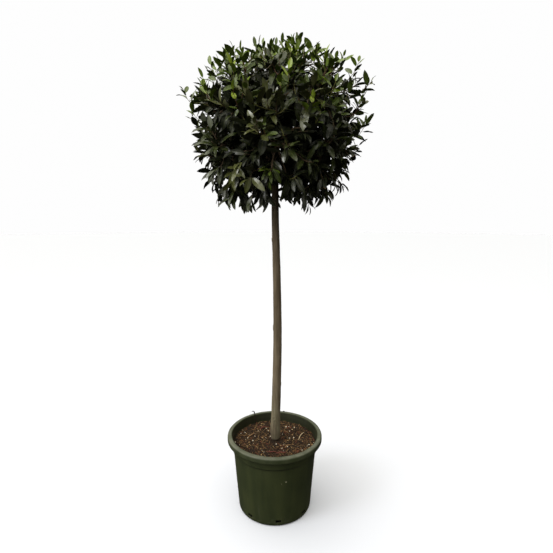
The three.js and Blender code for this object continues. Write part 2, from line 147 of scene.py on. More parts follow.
class Path:
    """A smooth line through a few points, whose places are given as shares of its length."""

    SAMPLES = 14

    def __init__(self, points: Sequence[Vector]) -> None:
        """Round the line through the points and measure it."""
        self.line = self._rounded(points)
        self.run = list(accumulate(((end - start).length for start, end in pairwise(self.line)), initial=0.0))

    @classmethod
    def _rounded(cls, points: Sequence[Vector]) -> list[Vector]:
        """Round the line.

        Args:
            points: What it passes through.

        Returns:
            Closely spaced places on the centripetal spline through the points.
        """
        knots = [points[0] * 2.0 - points[1], *points, points[-1] * 2.0 - points[-2]]
        line = [points[0].copy()]
        for k in range(len(points) - 1):
            shares = (step / cls.SAMPLES for step in range(1, cls.SAMPLES + 1))
            line += [cls._between(knots[k : k + 4], share) for share in shares]
        return line

    @staticmethod
    def _between(knots: Sequence[Vector], share: float) -> Vector:
        """Read the spline between the second and the third of four knots.

        Args:
            knots: The four.
            share: How far on, from 0 at the second to 1 at the third.

        Returns:
            The place.
        """
        first, start, end, last = knots
        a, b, c = (max((after - before).length, 1e-4) ** 0.5 for before, after in pairwise(knots))
        leave = ((start - first) / a - (end - first) / (a + b) + (end - start) / b) * b
        meet = ((end - start) / b - (last - start) / (b + c) + (last - end) / c) * b
        bend = (end * 3.0 - start * 3.0 - leave * 2.0 - meet) * share**2
        return start + leave * share + bend + (start * 2.0 - end * 2.0 + leave + meet) * share**3

    @property
    def length(self) -> float:
        """Return the line's whole length."""
        return self.run[-1]

    def at(self, share: float) -> Vector:
        """Read the line.

        Args:
            share: How far along it, from 0 to 1.

        Returns:
            The place there.
        """
        aim = min(max(share, 0.0), 1.0) * self.run[-1]
        after = min(max(bisect_right(self.run, aim), 1), len(self.run) - 1)
        low, high = self.run[after - 1], self.run[after]
        return self.line[after - 1].lerp(self.line[after], (aim - low) / (high - low))

    def tangent(self, share: float) -> Vector:
        """Return the way that the line heads at a share of its length."""
        return (self.at(share + 0.015) - self.at(share - 0.015)).normalized()


# Node trees


class Graph:
    """A node tree being built, with one method that adds any node."""

    def __init__(self, tree: bpy.types.NodeTree) -> None:
        """Keep the tree."""
        self.tree = tree

    def node(self, kind: str, inputs: Mapping[str | int, Any] | None = None, **settings: Any) -> Node:
        """Add a node.

        Args:
            kind: The node's type.
            inputs: For each socket, by name or number, a plain value, a Number, a socket or a node.
            settings: Its properties, set before the inputs.

        Returns:
            The new node.
        """
        node = self.tree.nodes.new(kind)
        for name, setting in settings.items():
            setattr(node, name, setting)
        for name, value in (inputs or {}).items():
            self._feed(self._socket(node, name), value)
        return node

    @staticmethod
    def _socket(node: Node, name: str | int) -> Socket:
        """Find one of a node's inputs.

        Args:
            node: The node.
            name: The input's number, or its name among those in use.

        Returns:
            The input.
        """
        if isinstance(name, int):
            return node.inputs[name]
        return next(socket for socket in node.inputs if socket.name == name and socket.enabled)

    def _feed(self, socket: Socket, value: Any) -> None:
        """Set an input's value, or link what it reads.

        Args:
            socket: The input.
            value: A plain value, a Number, a socket or a node.
        """
        if isinstance(value, Node):
            value = self.result(value)
        if isinstance(value, Number):
            value = value.socket
        if isinstance(value, Socket):
            self.tree.links.new(value, socket)
        else:
            socket.default_value = value

    @staticmethod
    def result(node: Node) -> Socket:
        """Return a node's first output in use."""
        return next(socket for socket in node.outputs if socket.enabled)

    def number(self, node: Node, output: str | None = None) -> "Number":
        """Return a node's named or first output as a number to reckon with."""
        return Number(self, node.outputs[output] if output else self.result(node))

    def place(self) -> Socket:
        """Return the piece's own place in metres."""
        return self.node("ShaderNodeTexCoord").outputs["Object"]

    def vector(self, operation: str, *terms: Any) -> Node:
        """Return a Vector Math node on some vectors."""
        return self.node("ShaderNodeVectorMath", dict(enumerate(terms)), operation=operation)

    def grain(self, scale: float, detail: float = 3.0, stretch: Triple = (1.0, 1.0, 1.0)) -> "Number":
        """Return noise over the piece's own place.

        Args:
            scale: Features to a metre.
            detail: How many finer layers are added.
            stretch: The scale's share along each axis.

        Returns:
            Values from 0 to 1, mostly near a half.
        """
        scaled = self.node("ShaderNodeMapping", {"Vector": self.place(), "Scale": stretch})
        inputs = {"Vector": scaled, "Scale": scale, "Detail": detail}
        return self.number(self.node("ShaderNodeTexNoise", inputs))

    def rise_of(self, vector: Any) -> "Number":
        """Return a vector's upward part."""
        return self.number(self.node("ShaderNodeSeparateXYZ", {0: vector}), "Z")

    def height(self) -> "Number":
        """Return the height above the floor in metres."""
        return self.rise_of(self.place())

    def radius(self) -> "Number":
        """Return the distance from the pot's axis in metres."""
        flat = self.vector("MULTIPLY", self.place(), (1.0, 1.0, 0.0))
        return self.number(self.vector("LENGTH", flat), "Value")

    def away(self, spot: Sequence[float]) -> "Number":
        """Return the distance in metres from a spot given in millimetres."""
        return self.number(self.vector("DISTANCE", self.place(), tuple(part * MM for part in spot)), "Value")

    def mix(self, first: Any, second: Any, share: Any) -> Socket:
        """Return a colour that goes from the first to the second."""
        inputs = {"Factor": share, "A": first, "B": second}
        return self.result(self.node("ShaderNodeMix", inputs, data_type="RGBA"))

    def bump(self, relief: "Number", depth: float) -> Node:
        """Return a bump of a depth in millimetres, from relief that runs from 0 to 1."""
        return self.node("ShaderNodeBump", {"Height": relief, "Distance": depth * MM, "Strength": 1.0})


def operator(operation: str, reflected: bool = False) -> Callable[["Number", Any], "Number"]:
    """Make a method for one of Python's operators.

    Args:
        operation: What its Math node does.
        reflected: Whether the other term comes first.

    Returns:
        The method.
    """

    def method(self: "Number", other: Any) -> "Number":
        """Return the Math node's result on the two numbers."""
        return self.worked(operation, other, self) if reflected else self.worked(operation, self, other)

    return method


class Number:
    """A number that varies over a piece. Python's operators add the Math nodes."""

    def __init__(self, graph: Graph, socket: Socket) -> None:
        """Keep the graph and the socket that gives the number."""
        self.graph = graph
        self.socket = socket

    def worked(self, operation: str, *terms: Any) -> "Number":
        """Return one Math node's result on some terms."""
        node = self.graph.node("ShaderNodeMath", dict(enumerate(terms)), operation=operation)
        return Number(self.graph, node.outputs[0])

    __add__ = __radd__ = operator("ADD")
    __sub__ = operator("SUBTRACT")
    __rsub__ = operator("SUBTRACT", True)
    __mul__ = __rmul__ = operator("MULTIPLY")
    __pow__ = operator("POWER")
    most = operator("MAXIMUM")

    def __abs__(self) -> "Number":
        """Return the size."""
        return self.worked("ABSOLUTE", self)

    def step(self, low: float, high: float) -> "Number":
        """Climb smoothly from 0 to 1.

        Args:
            low: Where the climb starts.
            high: Where it ends; it may be the lower one.

        Returns:
            The climb.
        """
        inputs = {"Value": self, "From Min": low, "From Max": high}
        climb = self.graph.node("ShaderNodeMapRange", inputs, interpolation_type="SMOOTHSTEP")
        return self.graph.number(climb)


# Finishes


@dataclass(frozen=True)
class Finish(ABC):
    """A surface finish: its name, and how it paints the one shader that it has."""

    name: str

    def material(self) -> bpy.types.Material:
        """Make the finish's material, the first time that it is asked for.

        Returns:
            The material.
        """
        known = bpy.data.materials.get(self.name)
        if known:
            return known
        made = bpy.data.materials.new(self.name)
        made.use_nodes = True
        made.node_tree.nodes.clear()
        graph = Graph(made.node_tree)
        colour, roughness, shine, *bump = self.paint(graph)
        inputs = {"Base Color": colour, "Roughness": roughness, "Specular IOR Level": shine}
        if bump:
            inputs["Normal"] = bump[0]
        shader = graph.node("ShaderNodeBsdfPrincipled", inputs)
        graph.node("ShaderNodeOutputMaterial", {"Surface": shader})
        return made

    @abstractmethod
    def paint(self, graph: Graph) -> tuple[Any, ...]:
        """Return the shader's colour, roughness and shine, and its bump where it has one."""


@dataclass(frozen=True)
class PotPlastic(Finish):
    """Moulded plastic, dusty on its rim, with flow marks, dried splashes and scuffs, and painted shade in its
    hollows.
    """

    name: str = "pot_plastic_weathered"
    base: Colour = tint(50, 56, 31)
    shade: Colour = tint(36, 43, 23)
    dust: Colour = tint(124, 124, 112)
    grit: Colour = tint(176, 172, 150)
    # Near-black that is mixed in as painted shade and shadow under the lip, at the collar foot, on the inner
    # wall and in the drain slots
    soil: Colour = tint(14, 11, 8)
    rim_from: float = 0.284
    rim_full: float = 0.2885
    rim_inside: float = 0.1735
    # Heights of the painted shadow lines at the collar foot and just under the lip
    collar_foot: float = 0.2468
    lip: float = 0.284
    spots: tuple[Colour, ...] = (
        (42.9, -154.8, 192.5, 3.4), (38.0, -156.0, 196.0, 1.3), (26.1, -158.0, 186.6, 1.5),
        (33.0, -157.6, 203.0, 1.2), (21.0, -159.0, 193.0, 1.1), (31.0, -156.0, 178.0, 1.3),
        (-118.0, 104.0, 150.0, 2.6), (96.0, 126.0, 214.0, 2.0),
    )

    def paint(self, graph: Graph) -> tuple[Any, ...]:
        """Paint the plastic.

        Args:
            graph: The material's node tree.

        Returns:
            The shader's colour, roughness, shine and bump.
        """
        flow = graph.grain(26.0, 3.0, (1.0, 1.0, 0.06))
        blotch = graph.grain(9.0, 4.0)
        speck = graph.grain(420.0, 2.0)
        height, radius = graph.height(), graph.radius()
        colour = graph.mix(self.shade, self.base, (flow * 0.6 + blotch * 0.5).step(0.36, 0.72))
        rim = height.step(self.rim_from, self.rim_full)
        rim *= radius.step(self.rim_inside, self.rim_inside + 0.003)
        upward = graph.rise_of(graph.node("ShaderNodeNewGeometry").outputs["Normal"]).step(0.05, 0.9)
        patchy = graph.grain(34.0, 5.0).step(0.28, 0.72)
        dusty = rim * (patchy * 0.06 + upward * (patchy * 0.17 + 0.1))
        streaks = graph.grain(60.0, 4.0, (1.0, 1.0, 0.1)).step(0.6, 0.82) * 0.12
        splash = height.step(0.05, 0.0) * graph.grain(90.0, 5.0).step(0.5, 0.75) * 0.2
        dust = dusty.most(streaks + splash) + speck.step(0.68, 0.8) * 0.08
        outside = radius.step(0.1686, 0.1694)
        # Painted shadow: dark lines just under the lip and at the collar foot, where shade falls.
        painted_lip_shadow = abs(height - self.lip).step(0.004, 0.001) * outside * radius.step(0.184, 0.176)
        shadowed = (abs(height - self.collar_foot).step(0.0042, 0.0016) + painted_lip_shadow) * 0.75
        inside = (1.0 - outside).most(radius.step(0.1755, 0.1725) * height.step(0.287, 0.291))
        # Painted shade: the inner wall just above the compost is darkened in blotches.
        painted_inner_shade = height.step(0.268, 0.274) * height.step(0.304, 0.299) * inside * (0.4 + blotch * 0.42)
        # The painted shade and shadow are mixed in with the near-black.
        colour = graph.mix(graph.mix(colour, self.dust, dust), self.soil, shadowed.most(painted_inner_shade))
        for *place, size in self.spots:
            colour = graph.mix(colour, self.grit, graph.away(place).step(size * MM, size * 0.5 * MM) * 0.8)
        # Painted shade: the drain slots' faces inside the wall are darkened.
        painted_slot_shade = radius.step(0.1469, 0.1461) * height.step(0.0172, 0.0178) * height.step(0.0288, 0.0282)
        colour = graph.mix(colour, self.soil, painted_slot_shade)
        scratch = graph.grain(75.0, 2.0, (1.0, 1.0, 6.0))
        bump = graph.bump(speck * 0.35 + flow * 0.3 + scratch * 0.35, 0.22)
        return colour, 0.44 + dust * 0.5 + blotch * 0.08, 0.42, bump


@dataclass(frozen=True)
class Bark(Finish):
    """Smooth grey-brown bark with upright streaks, raised pores, a green foot and a wet collar."""

    name: str = "bay_bark"
    light: Colour = tint(122, 110, 92)
    dark: Colour = tint(72, 62, 48)
    upper: Colour = tint(66, 54, 40)
    streak: Colour = tint(146, 136, 119)
    moss: Colour = tint(104, 108, 84)
    wet: Colour = tint(36, 28, 22)
    soil: float = 0.2723

    def paint(self, graph: Graph) -> tuple[Any, ...]:
        """Paint the bark.

        Args:
            graph: The material's node tree.

        Returns:
            The shader's colour, roughness, shine and bump.
        """
        streaks = graph.grain(150.0, 4.0, (1.0, 1.0, 0.07))
        patches = graph.grain(22.0, 4.0, (1.0, 1.0, 0.4))
        pores = graph.grain(520.0, 2.0, (0.55, 0.55, 1.4)).step(0.64, 0.74)
        pale = graph.grain(210.0, 3.0, (1.0, 1.0, 0.05)).step(0.58, 0.8) * 0.5
        height, soil = graph.height(), self.soil
        low = height.step(soil + 0.3, soil + 0.02)
        foot = height.step(soil + 0.09, soil)
        damp = height.step(soil + 0.014, soil + 0.003)
        colour = graph.mix(self.dark, self.light, (streaks * 0.65 + patches * 0.5).step(0.36, 0.78))
        colour = graph.mix(colour, self.streak, pale)
        colour = graph.mix(colour, self.upper, height.step(soil + 0.1, soil + 0.62) * (0.34 + patches * 0.24))
        colour = graph.mix(colour, self.moss, low * patches.step(0.35, 0.75) * 0.6)
        colour = graph.mix(colour, self.dark, pores * 0.6)
        colour = graph.mix(colour, self.wet, (low * 0.18 + foot * 0.14).most(damp))
        bump = graph.bump(streaks * 0.6 + pores * 0.4, 0.45)
        return colour, 0.84 - damp * 0.35 + streaks * 0.08, 0.3, bump


@dataclass(frozen=True)
class CompostBed(Finish):
    """Peaty bark compost between the larger chips: dark brown with redder and paler patches."""

    name: str = "compost_fine"
    dark: Colour = tint(15, 10, 7)
    brown: Colour = tint(53, 36, 17)
    red: Colour = tint(59, 30, 15)

    def paint(self, graph: Graph) -> tuple[Any, ...]:
        """Paint the compost.

        Args:
            graph: The material's node tree.

        Returns:
            The shader's colour, roughness, shine and bump.
        """
        fine = graph.grain(330.0, 5.0)
        colour = graph.mix(self.dark, self.brown, fine.step(0.4, 0.66))
        colour = graph.mix(colour, self.red, graph.grain(26.0, 3.0).step(0.5, 0.68) * 0.7)
        return colour, 0.96, 0.2, graph.bump(fine, 3.0)


# Fine reliefs: features to a metre, how many finer layers, and the depth in millimetres
FIBROUS = (700.0, 3.0, 0.35)
LEATHERY = (260.0, 2.0, 0.12)
RIDGED = (600.0, 2.0, 0.15)


@dataclass(frozen=True)
class Plain(Finish):
    """A surface in one plain colour, such as a side of a leaf, a twig's skin or a chip of bark."""

    colour: Colour
    roughness: float = 0.9
    shine: float = 0.25
    relief: Triple | None = FIBROUS

    def paint(self, graph: Graph) -> tuple[Any, ...]:
        """Return the shader's colour, roughness and shine, and its bump where it has one."""
        plain = (self.colour, self.roughness, self.shine)
        return (*plain, graph.bump(graph.grain(*self.relief[:2]), self.relief[2])) if self.relief else plain


STUDIO_FLOOR = Plain("studio_floor", (0.588, 0.609, 0.682, 1.0), 0.9, 0.1, None)


class LeafPart(IntEnum):
    """The parts of a leaf that have finishes of their own."""

    UPPER, RIB, UNDER, STALK, CUT = range(5)


class Tone(IntEnum):
    """The ages and exposures of a spray, which give its leaves their colour; DEEP also serves as painted
    shade.
    """

    DEEP, MATURE, OLIVE, FRESH, YOUNG, LIME = range(6)


DEEP, MATURE, OLIVE, FRESH, YOUNG, LIME = Tone


class Skin(IntEnum):
    """The ages of a twig."""

    BROWN, GREEN, RED = range(3)


TWIG_SKINS = {
    Skin.BROWN: Plain("twig_brown", tint(88, 74, 57), 0.75, 0.35, RIDGED),
    Skin.GREEN: Plain("twig_green", tint(98, 98, 52), 0.55, 0.35, RIDGED),
    Skin.RED: Plain("twig_red", tint(88, 62, 42), 0.55, 0.35, RIDGED),
}


def leaf_finishes() -> dict[tuple[Tone, LeafPart], Plain]:
    """Make the table of the leaves' finishes.

    Returns:
        The finish of each part of a leaf in each tone.
    """
    old, new = (84, 70, 44), (128, 84, 50)
    palette = {
        # DEEP is the old leaves' colour and, within and below the head, painted shade
        DEEP: ((24, 29, 14), (68, 72, 38), (36, 40, 22), old, (0.34, 0.36)),
        MATURE: ((43, 52, 22), (84, 88, 46), (56, 61, 36), old, (0.28, 0.5)),
        OLIVE: ((68, 73, 35), (102, 102, 58), (72, 74, 44), old, (0.28, 0.5)),
        FRESH: ((60, 76, 17), (114, 126, 54), (68, 82, 30), old, (0.38, 0.38)),
        YOUNG: ((82, 101, 12), (136, 148, 62), (86, 106, 28), new, (0.38, 0.38)),
        LIME: ((112, 130, 16), (162, 170, 80), (114, 134, 36), (142, 96, 56), (0.38, 0.38)),
    }
    table = {}
    for tone, (*colours, sheen) in palette.items():
        gloss = (sheen, (0.42, 0.5), (0.6, 0.35), (0.5, 0.4))
        for part, colour, (roughness, shine) in zip(LeafPart, colours, gloss):
            name = f"leaf_{tone.name}_{part.name}".lower()
            table[tone, part] = Plain(name, tint(*colour), roughness, shine, LEATHERY)
        table[tone, LeafPart.CUT] = Plain("leaf_clipped_edge", tint(96, 70, 44), 0.75, 0.2, LEATHERY)
    return table


# Meshes


@dataclass
class Draft:
    """Places and faces gathered for one mesh. Places are in millimetres."""

    places: list[Vector] = field(default_factory=list)
    faces: list[tuple[int, ...]] = field(default_factory=list)
    labels: list[int] = field(default_factory=list)

    def add(self, places: Iterable[Vector]) -> list[int]:
        """Add places.

        Args:
            places: What is added.

        Returns:
            Their numbers.
        """
        first = len(self.places)
        self.places.extend(places)
        return list(range(first, len(self.places)))

    def face(self, corners: Sequence[int], label: int = 0) -> None:
        """Add one face, with a number that says what it is."""
        self.faces.append(tuple(corners))
        self.labels.append(label)

    def bridge(self, rings: Iterable[Sequence[int]]) -> None:
        """Join closed rings of equal count.

        Args:
            rings: The rings, each anticlockwise as seen from the next one.
        """
        for lower, upper in pairwise(rings):
            for k in range(len(lower)):
                after = (k + 1) % len(lower)
                self.face((lower[k], lower[after], upper[after], upper[k]))

    def fan(self, ring: Sequence[int], hub: int) -> None:
        """Close an anticlockwise ring with triangles to a hub on its outer side."""
        for k, corner in enumerate(ring):
            self.face((corner, ring[(k + 1) % len(ring)], hub))

    def body(self, rings: Sequence[Sequence[int]], *hubs: Vector) -> None:
        """Join rings into a closed body.

        Args:
            rings: The rings, from the first to the last.
            hubs: What closes the first ring and the last one; without them both ends are flat.
        """
        self.bridge(rings)
        if hubs:
            first, last = self.add(hubs)
            self.fan(rings[0][::-1], first)
            self.fan(rings[-1], last)
        else:
            self.face(rings[0][::-1])
            self.face(rings[-1])

    def tube(self, path: Path, radii: Sequence[float], sides: int = 7, flat: float = 1.0) -> None:
        """Add a closed round bar along a path.

        Args:
            path: Its middle line.
            radii: Its radius at evenly spaced places from end to end.
            sides: How many sides it has.
            flat: Its height as a share of its width.
        """
        rings = []
        for step, radius in enumerate(radii):
            share = step / (len(radii) - 1)
            middle, axis = path.at(share), path.tangent(share)
            side = axis.cross(UP if abs(axis.z) < 0.9 else Vector((0.0, 1.0, 0.0))).normalized()
            other = side.cross(axis)
            ring = [middle + (side * cos(turn) + other * sin(turn) * flat) * radius for turn in turns(sides)]
            rings.append(self.add(ring[::-1]))
        self.body(rings)

    def mesh(self, name: str) -> Mesh:
        """Make the mesh.

        Args:
            name: Its name.

        Returns:
            The mesh in metres, with its faces smooth.
        """
        mesh = bpy.data.meshes.new(name)
        mesh.from_pydata([place * MM for place in self.places], [], self.faces)
        mesh.shade_smooth()
        mesh.update()
        return mesh


def carry(mesh: Mesh, name: str, kind: str, values: Sequence[float], domain: str = "POINT") -> None:
    """Write an attribute on a mesh."""
    mesh.attributes.new(name, kind, domain).data.foreach_set("value", values)


def linked(name: str, data: Any) -> Object:
    """Put some data in the scene.

    Args:
        name: The new object's name.
        data: What it shows.

    Returns:
        The new object.
    """
    made = bpy.data.objects.new(name, data)
    bpy.context.scene.collection.objects.link(made)
    return made


def evaluated(carrier: Object) -> Mesh:
    """Return what an object's modifiers make of it, as a plain mesh."""
    bpy.context.view_layer.update()
    return bpy.data.meshes.new_from_object(carrier.evaluated_get(bpy.context.evaluated_depsgraph_get()))


def joined(meshes: Sequence[Mesh]) -> Mesh:
    """Join meshes into one.

    Args:
        meshes: What is joined, each with its materials.

    Returns:
        One mesh that holds them all.
    """
    pieces = [linked(mesh.name, mesh) for mesh in meshes]
    with bpy.context.temp_override(active_object=pieces[0], selected_editable_objects=pieces):
        bpy.ops.object.join()
    mesh = pieces[0].data
    bpy.data.objects.remove(pieces[0])
    return mesh


@dataclass(frozen=True)
class Piece:
    """A finished mesh, the finishes in its slots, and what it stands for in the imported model."""

    name: str
    slot: str
    finishes: tuple[Finish, ...] = ()
    replaces: tuple[str, ...] = ()

    def put(self, mesh: Mesh) -> None:
        """Place the mesh in the scene as this piece, riding on the plant's one body.

        Args:
            mesh: The mesh, in metres, in the shared frame.
        """
        for finish in self.finishes:
            mesh.materials.append(finish.material())
        mesh.name = self.name
        piece = linked(self.name, mesh)
        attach(piece, ROOT)
        if self.replaces:
            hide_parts(*self.replaces)
        log.info("%s: %d triangles", self.name, sum(len(face.vertices) - 2 for face in mesh.polygons))


class ShapeShelf:
    """Holds the small meshes that Geometry Nodes copy, out of the scene."""

    def __init__(self, name: str, meshes: Sequence[Mesh]) -> None:
        """Put one object for each mesh in a collection of its own.

        Args:
            name: The collection's name.
            meshes: The shapes, in the order of their numbers.
        """
        self.collection = bpy.data.collections.new(name)
        for number, mesh in enumerate(meshes):
            self.collection.objects.link(bpy.data.objects.new(f"{name}_{number:02d}", mesh))

    def clear(self) -> None:
        """Remove the collection and its objects, once every copy is a plain mesh."""
        for shape in list(self.collection.objects):
            bpy.data.objects.remove(shape)
        bpy.data.collections.remove(self.collection)


class NodeRecipe(ABC):
    """A Geometry Nodes tree with named inputs, run over a mesh to give a plain mesh."""

    name: str
    wants: Mapping[str, str]

    def __init__(self) -> None:
        """Build the tree, with an input of each wanted kind beside the geometry."""
        self.tree = bpy.data.node_groups.new(self.name, "GeometryNodeTree")
        self.graph = Graph(self.tree)
        self.sockets: dict[str, str] = {}
        add = self.tree.interface.new_socket
        for name, kind in {"Geometry": "Geometry", **self.wants}.items():
            socket = add(name=name, in_out="INPUT", socket_type=f"NodeSocket{kind}")
            self.sockets[name] = socket.identifier
        add(name="Geometry", in_out="OUTPUT", socket_type="NodeSocketGeometry")
        self.source = self.graph.node("NodeGroupInput")
        self.graph.node("NodeGroupOutput", {0: self.build()})

    def given(self, name: str) -> Socket:
        """Return the socket inside the tree that holds a named input."""
        return self.source.outputs[name]

    def attribute(self, name: str, kind: str = "FLOAT") -> Socket:
        """Return an attribute that the mesh carries."""
        kept = self.graph.node("GeometryNodeInputNamedAttribute", {"Name": name}, data_type=kind)
        return Graph.result(kept)

    def dress(self, shape: Any, finish: Any, chosen: Any = True) -> Socket:
        """Return the shape with a finish on the chosen faces."""
        inputs = {"Geometry": shape, "Selection": chosen, "Material": finish}
        return Graph.result(self.graph.node("GeometryNodeSetMaterial", inputs))

    def code_is(self, code: Any, wanted: int) -> Socket:
        """Choose faces by the code that they carry.

        Args:
            code: What they carry.
            wanted: The code of the chosen ones.

        Returns:
            The choice.
        """
        inputs = {"A": code, "B": float(wanted), "Epsilon": 0.25}
        same = self.graph.node("FunctionNodeCompare", inputs, data_type="FLOAT", operation="EQUAL")
        return Graph.result(same)

    def copies(self, points: Any, shapes: str, number: Any, turn: Any, size: Any) -> Node:
        """Put a shape on each point.

        Args:
            points: Where the shapes go.
            shapes: The named input that holds their collection.
            number: Which shape each point gets.
            turn: How it is turned.
            size: Its size.

        Returns:
            The node that gives the copies as plain faces.
        """
        listed = {"Collection": self.given(shapes), "Separate Children": True, "Reset Children": True}
        inputs = {
            "Points": points,
            "Instance": self.graph.node("GeometryNodeCollectionInfo", listed),
            "Pick Instance": True,
            "Instance Index": number,
            "Rotation": turn,
            "Scale": size,
        }
        hung = self.graph.node("GeometryNodeInstanceOnPoints", inputs)
        return self.graph.node("GeometryNodeRealizeInstances", {"Geometry": hung})

    @abstractmethod
    def build(self) -> Socket:
        """Add the tree's nodes and return its result."""

    def run(self, mesh: Mesh, inputs: Mapping[str, Any]) -> Mesh:
        """Run the tree over a mesh.

        Args:
            mesh: What the tree starts from.
            inputs: A value for each named input.

        Returns:
            The result as a plain mesh.
        """
        carrier = linked(f"{self.name}_carrier", mesh)
        modifier = carrier.modifiers.new(self.name, "NODES")
        modifier.node_group = self.tree
        for name, value in inputs.items():
            modifier[self.sockets[name]] = value
        made = evaluated(carrier)
        carrier.modifiers.remove(modifier)
        bpy.data.objects.remove(carrier)
        return made


class SweptTwigs(NodeRecipe):
    """Turns lines that carry a thickness and a skin into closed round twigs."""

    name = "swept_twigs"
    wants = {"Sides": "Int"}

    def build(self) -> Socket:
        """Add the tree's nodes.

        Returns:
            The twigs, each in its skin's finish.
        """
        lines = self.graph.node("GeometryNodeMeshToCurve", {"Mesh": self.given("Geometry")})
        inputs = {"Curve": lines, "Radius": self.attribute("thickness")}
        sized = self.graph.node("GeometryNodeSetCurveRadius", inputs)
        ring = {"Resolution": self.given("Sides"), "Radius": 1.0}
        profile = self.graph.node("GeometryNodeCurvePrimitiveCircle", ring)
        inputs = {"Curve": sized, "Profile Curve": profile, "Fill Caps": True}
        swept = self.graph.node("GeometryNodeCurveToMesh", inputs)
        scale = next((socket for socket in swept.inputs if socket.name == "Scale"), None)
        if scale:
            self.tree.links.new(self.attribute("thickness"), scale)
        shape: Any = self.graph.node("GeometryNodeRealizeInstances", {"Geometry": swept})
        for skin, finish in TWIG_SKINS.items():
            shape = self.dress(shape, finish.material(), self.code_is(self.attribute("skin"), skin))
        return shape


class HungLeaves(NodeRecipe):
    """Hangs a leaf on each point of a mesh, by the turn, size, pattern and tone that the point carries."""

    name = "hung_leaves"
    wants = {"Patterns": "Collection"}

    def build(self) -> Socket:
        """Add the tree's nodes.

        Returns:
            The leaves, each part in its tone's finish.
        """
        points, pattern = self.given("Geometry"), self.attribute("pattern", "INT")
        turn, size = self.attribute("turn", "QUATERNION"), self.attribute("size")
        shape: Any = self.copies(points, "Patterns", pattern, turn, size)
        code = Number(self.graph, self.attribute("tone")) * float(len(LeafPart)) + self.attribute("part")
        for (tone, part), finish in leaf_finishes().items():
            shape = self.dress(shape, finish.material(), self.code_is(code, tone * len(LeafPart) + part))
        return shape


class ScatteredLitter(NodeRecipe):
    """Strews a collection's shapes over a surface, each with a turn, a tilt and a size of its own."""

    name = "scattered_litter"
    kinds = 12
    wants = {
        "Shapes": "Collection",
        "Density": "Float",
        "Seed": "Int",
        "Tilt": "Float",
        "Smallest": "Float",
        "Largest": "Float",
        "Finish": "Material",
    }

    def build(self) -> Socket:
        """Add the tree's nodes.

        Returns:
            The litter in its finish.
        """
        inputs = {"Mesh": self.given("Geometry"), **{name: self.given(name) for name in ("Density", "Seed")}}
        points = self.graph.node("GeometryNodeDistributePointsOnFaces", inputs, distribute_method="RANDOM")
        tilt = Number(self.graph, self.given("Tilt"))
        lowest = self.graph.node("ShaderNodeCombineXYZ", {"X": tilt * -1.0, "Y": tilt * -1.0, "Z": 0.0})
        highest = self.graph.node("ShaderNodeCombineXYZ", {"X": tilt, "Y": tilt, "Z": tau})
        turn = self._random("FLOAT_VECTOR", lowest, highest)
        size = self._random("FLOAT", self.given("Smallest"), self.given("Largest"))
        shape = self.copies(points, "Shapes", self._random("INT", 0, self.kinds - 1), turn, size)
        return self.dress(shape, self.given("Finish"))

    def _random(self, kind: str, low: Any, high: Any) -> Socket:
        """Return a number or vector drawn for each point, by the tree's seed."""
        inputs = {"Min": low, "Max": high, "Seed": self.given("Seed")}
        return Graph.result(self.graph.node("FunctionNodeRandomValue", inputs, data_type=kind))


# Pot and compost


